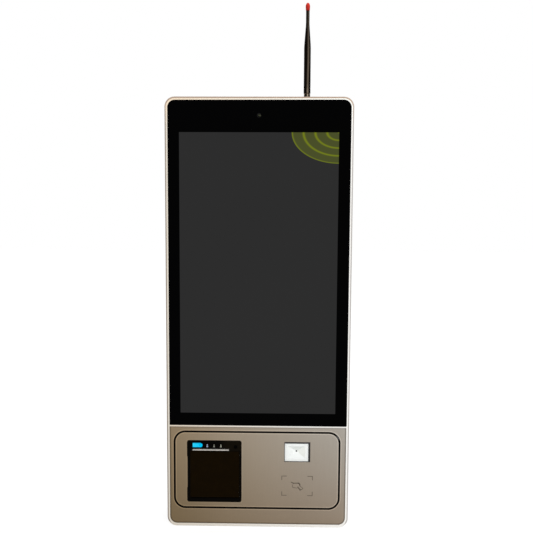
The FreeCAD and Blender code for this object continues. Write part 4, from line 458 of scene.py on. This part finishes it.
def glass_paint():
    """Black round the screen, and the dim lit picture of the screen behind the glass."""
    soft = 0.0004
    graph = Graph("cover_glass", (0.0004, 0.0004, 0.0005), 0.06, specular=0.012)
    graph.uneven(12, 0.02)
    right = graph.axis("X")
    up = graph.axis("Z")
    inside = graph.product(graph.between(right, LCD_LEFT - soft, LCD_LEFT + soft),
                           graph.between(right, LCD_RIGHT - soft, LCD_RIGHT + soft, 1.0, 0.0),
                           graph.between(up, LCD_LOW - soft, LCD_LOW + soft),
                           graph.between(up, LCD_HIGH - soft, LCD_HIGH + soft, 1.0, 0.0))
    shade = graph.between(up, LCD_LOW, LCD_HIGH, 0.97, 1.0)
    cloud = graph.between(graph.noise(3.0, 2.0), 0.3, 0.7, 0.98, 1.02)
    grey = graph.product(shade, cloud, 0.0253)
    # A plain quarter oval with evenly spaced arcs fills the picture's corner.
    arc_width, arc_height, arc_count = 0.0985, 0.0640, 4
    green = (0.047, 0.059, -0.005)
    aside = graph.math("DIVIDE", graph.math("SUBTRACT", LCD_RIGHT, right), arc_width)
    below = graph.math("DIVIDE", graph.math("SUBTRACT", LCD_HIGH, up), arc_height)
    radius = graph.math("ADD", graph.product(aside, aside), graph.product(below, below))
    radius = graph.math("SQRT", radius)
    filled = graph.between(radius, 0.99, 1.01, 1.0, 0.0, smooth=True)
    wave = graph.math("ABSOLUTE", graph.math("SINE", graph.product(radius, math.pi * arc_count)))
    arcs = graph.between(wave, 0.0, 0.55, 3.0, 0.85, smooth=True)
    pattern = graph.product(filled, arcs)
    picture = graph.nodes.new("ShaderNodeCombineColor")
    for channel, tint in zip(("Red", "Green", "Blue"), green):
        level = graph.math("ADD", grey, graph.product(pattern, tint))
        graph.link(graph.product(level, inside), picture.inputs[channel])
    graph.link(picture.outputs["Color"], graph.shader.inputs["Emission Color"])
    graph.shader.inputs["Emission Strength"].default_value = 1.0
    return graph


housing_paint = Graph("housing_paint", (0.030, 0.030, 0.032), 0.55)
housing_paint.vary(60, 0.15).uneven(500, 0.08).grain(1300, 0.00012)
cardboard = Graph("cardboard", (0.42, 0.30, 0.18), 0.9, specular=0.2)
cardboard.vary(300, 0.12, (8, 1, 1)).grain(900, 0.00008)
circuit_board = Graph("circuit_board", (0.010, 0.075, 0.035), 0.32, coat=0.4)
circuit_board.vary(420, 0.35).grain(700, 0.00004)

LOOKS = {
    fascia_paint(): ["lower_fascia", "service_door"],
    frame_paint(): ["front_frame"],
    trim_paint(): ["divider_trim"],
    housing_paint: ["rear_housing"],
    glass_paint(): ["cover_glass"],
    metal("bare_steel", (0.44, 0.44, 0.45), 0.40): [
        "display_rails", "housing_screws", "network_socket", "usb_sockets", "hinge_brackets",
        "hinge_pins", "lock_barrel", "lock_plug", "lock_cam", "antenna_hinge_pin",
        "door_hinge_leaves", "door_strike", "printer_chassis", "feed_motor", "lid_hinge_pin",
        "platen_shaft", "release_spring", "lid_latch"],
    # The tear bar's steel is coloured near black.
    metal("near_black_steel", (0.028, 0.024, 0.020), 0.42): ["tear_bar"],
    metal("aluminium", (0.74, 0.74, 0.76), 0.38): ["heat_sink", "power_supply", "thermal_head"],
    metal("brass", (0.76, 0.58, 0.27), 0.30): [
        "mounting_inserts", "board_standoffs", "antenna_socket", "motor_pinion"],
    plastic("black_plastic", MOULDED_BLACK, 0.45): [
        "speakers", "power_inlet", "paper_bucket", "scanner_engine"],
    scanner_paint(): ["scanner_housing"],
    antenna_paint(): ["antenna_whip"],
    antenna_foot_paint(): ["antenna_base"],
    tip_paint(): ["antenna_tip"],
    bezel_paint(): ["printer_bezel"],
    lens_paint(): ["camera_module"],
    plastic("key_plastic", (0.0010, 0.0007, 0.0003), 0.35, specular=0.01): ["feed_key"],
    plastic("lid_plastic", (0.0060, 0.0030, 0.0002), 0.42, grain_scale=900, depth=0.00003,
            specular=0.015): ["printer_lid"],
    plastic("grey_plastic", (0.16, 0.16, 0.165), 0.5): ["nfc_reader"],
    plastic("white_plastic", (0.90, 0.915, 0.905), 0.35, depth=0.00001, amount=0.02): [
        "platen_gear"],
    reflector_paint(): ["scanner_reflector"],
    button_paint(): ["release_button"],
    plastic("red_plastic", (0.78, 0.003, 0.002), 0.34, depth=0.00001, amount=0.10,
            specular=0.06): ["power_rocker"],
    plastic("rubber", (0.016, 0.016, 0.017), 0.72, depth=0.00006): [
        "platen_roller", "door_buffers"],
    paper_paint(): ["paper_web", "paper_roll"],
    cardboard: ["roll_core"],
    circuit_board: ["main_board", "key_board"],
    plastic("screen_body", (0.030, 0.030, 0.032), 0.5): ["display_panel"],
    symbol_paint(): ["status_lights"],
}
for graph, names in LOOKS.items():
    for name in names:
        mesh = nodes[name].data
        mesh.materials.clear()
        mesh.materials.append(graph.material)


# Pieces
def piece(name, mesh_builder, graph, body):
    """A new mesh built by mesh_builder(bm), which rides on a body."""
    mesh = bpy.data.meshes.new(name)
    bm = bmesh.new()
    mesh_builder(bm)
    bmesh.ops.recalc_face_normals(bm, faces=bm.faces)
    bm.to_mesh(mesh)
    bm.free()
    mesh.materials.append(graph.material)
    item = bpy.data.objects.new(name, mesh)
    bpy.context.scene.collection.objects.link(item)
    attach(item, body)


def prism(bm, outline, front, back):
    """A flat outline of (x, height) points in millimetres, from depth front to depth back."""
    near = [bm.verts.new(at(x, front, z)) for x, z in outline]
    far = [bm.verts.new(at(x, back, z)) for x, z in outline]
    bm.faces.new(near)
    bm.faces.new(list(reversed(far)))
    count = len(outline)
    for index in range(count):
        following = (index + 1) % count
        bm.faces.new((near[following], near[index], far[index], far[following]))


# Printed marks on the door where a card is held, in millimetres: four corner marks, and a card in
# a hand as rows of strokes with their widths
MARK = {"left": 52.0, "right": 120.2, "bottom": 71.2, "top": 116.1, "arm_x": 11.6, "arm_z": 9.6,
        "width": 1.7}
STROKES = [
    ([(73.4, 101.6), (78.2, 99.4), (89.6, 99.8), (91.6, 97.6), (92.4, 93.6)], 2.3),
    ([(75.4, 96.4), (77.0, 90.2), (85.4, 88.6)], 1.4),
    ([(88.0, 90.5), (92.9, 84.6)], 3.2),
    ([(92.4, 93.6), (98.8, 88.0), (96.2, 85.2), (92.9, 84.6)], 1.2),
]
ROUND_END_STEPS = 6
DOOR_FACE = 0.8
PRINT = 0.03


def corner_marks(bm):
    arm_x, arm_z, width = MARK["arm_x"], MARK["arm_z"], MARK["width"]
    for x, side in ((MARK["left"], 1), (MARK["right"], -1)):
        for z, rise in ((MARK["bottom"], 1), (MARK["top"], -1)):
            outline = [(x, z), (x + side * arm_x, z), (x + side * arm_x, z + rise * width),
                       (x + side * width, z + rise * width), (x + side * width, z + rise * arm_z),
                       (x, z + rise * arm_z)]
            prism(bm, outline, DOOR_FACE - PRINT, DOOR_FACE + PRINT)


def card_mark(bm):
    """Each stroke is a row of round-ended lines through its (x, height) points."""
    for points, width in STROKES:
        half = width / 2
        for start, end in zip(points, points[1:]):
            angle = math.atan2(end[1] - start[1], end[0] - start[0])
            outline = []
            for (x, z), turn in ((end, angle - math.pi / 2), (start, angle + math.pi / 2)):
                for step in range(ROUND_END_STEPS + 1):
                    swing = turn + math.pi * step / ROUND_END_STEPS
                    outline.append((x + half * math.cos(swing), z + half * math.sin(swing)))
            prism(bm, outline, DOOR_FACE - PRINT, DOOR_FACE + PRINT)


printed = Graph("printed_mark", (0.150, 0.120, 0.088), 0.6, specular=0.3)
printed.vary(900, 0.10)
piece("card_place_marks", corner_marks, printed, "door")
piece("card_symbol", card_mark, printed, "door")


# Floor, lights and world
def seen_directly(node_tree):
    """1 where the camera, a reflection or a view through glass meets the surface, else 0."""
    path = node_tree.nodes.new("ShaderNodeLightPath")
    result = path.outputs["Is Camera Ray"]
    for other in ("Is Glossy Ray", "Is Transmission Ray"):
        most = node_tree.nodes.new("ShaderNodeMath")
        most.operation = "MAXIMUM"
        node_tree.links.new(result, most.inputs[0])
        node_tree.links.new(path.outputs[other], most.inputs[1])
        result = most.outputs["Value"]
    return result


def floor():
    reach, gap = 14.0, 0.0006
    z = BOTTOM - gap
    mesh = bpy.data.meshes.new("floor")
    corners = [(-reach, -reach, z), (reach, -reach, z), (reach, reach, z), (-reach, reach, z)]
    mesh.from_pydata(corners, [], [(0, 1, 2, 3)])
    item = bpy.data.objects.new("floor", mesh)
    bpy.context.scene.collection.objects.link(item)
    graph = Graph("floor_paint", (0.80, 0.80, 0.80), 0.9, specular=0.0)
    graph.vary(2.0, 0.01)
    # Seen straight on, the floor is white by itself and only the object's shadow greys it.
    seen = seen_directly(graph.material.node_tree)
    graph.paint(graph.mix(seen, graph.painted(), (0.34, 0.34, 0.34)))
    graph.glow((1, 1, 1), graph.product(seen, 0.80))
    mesh.materials.append(graph.material)


def lamp(name, place, size, power):
    target = Vector((0, -0.05, 0.05))
    data = bpy.data.lights.new(name, "AREA")
    data.shape = "SQUARE"
    data.size = size
    data.energy = power
    item = bpy.data.objects.new(name, data)
    item.location = place
    item.rotation_euler = (target - Vector(place)).to_track_quat("-Z", "Y").to_euler()
    bpy.context.scene.collection.objects.link(item)


def studio():
    """White wherever it is seen, and dimmer as a light on the object."""
    world = bpy.data.worlds.new("studio")
    world.use_nodes = True
    bpy.context.scene.world = world
    tree = world.node_tree
    surround = tree.nodes["Background"]
    surround.inputs["Color"].default_value = (1, 1, 1, 1)
    level = tree.nodes.new("ShaderNodeMapRange")
    level.inputs["To Min"].default_value = 0.62
    level.inputs["To Max"].default_value = 1.0
    tree.links.new(seen_directly(tree), level.inputs["Value"])
    tree.links.new(level.outputs["Result"], surround.inputs["Strength"])


def photo_camera():
    """Camera at the photograph's viewing angle."""
    data = bpy.data.cameras.new("camera")
    data.lens = 37.148
    data.sensor_width = 36.0
    data.clip_end = 60.0
    camera = bpy.data.objects.new("camera", data)
    camera.location = (0.03549, -1.25690, 0.19174)
    camera.rotation_euler = (1.500075, -0.005127, 0.016123)
    bpy.context.scene.collection.objects.link(camera)
    bpy.context.scene.camera = camera


floor()
lamp("key_light", (1.5, -2.2, 1.9), 1.6, 26)
lamp("fill_light", (-1.8, -2.0, 0.7), 1.8, 12)
lamp("back_light", (0.4, 2.4, 1.8), 1.6, 14)
studio()
photo_camera()
bpy.context.scene.view_settings.view_transform = "Standard"
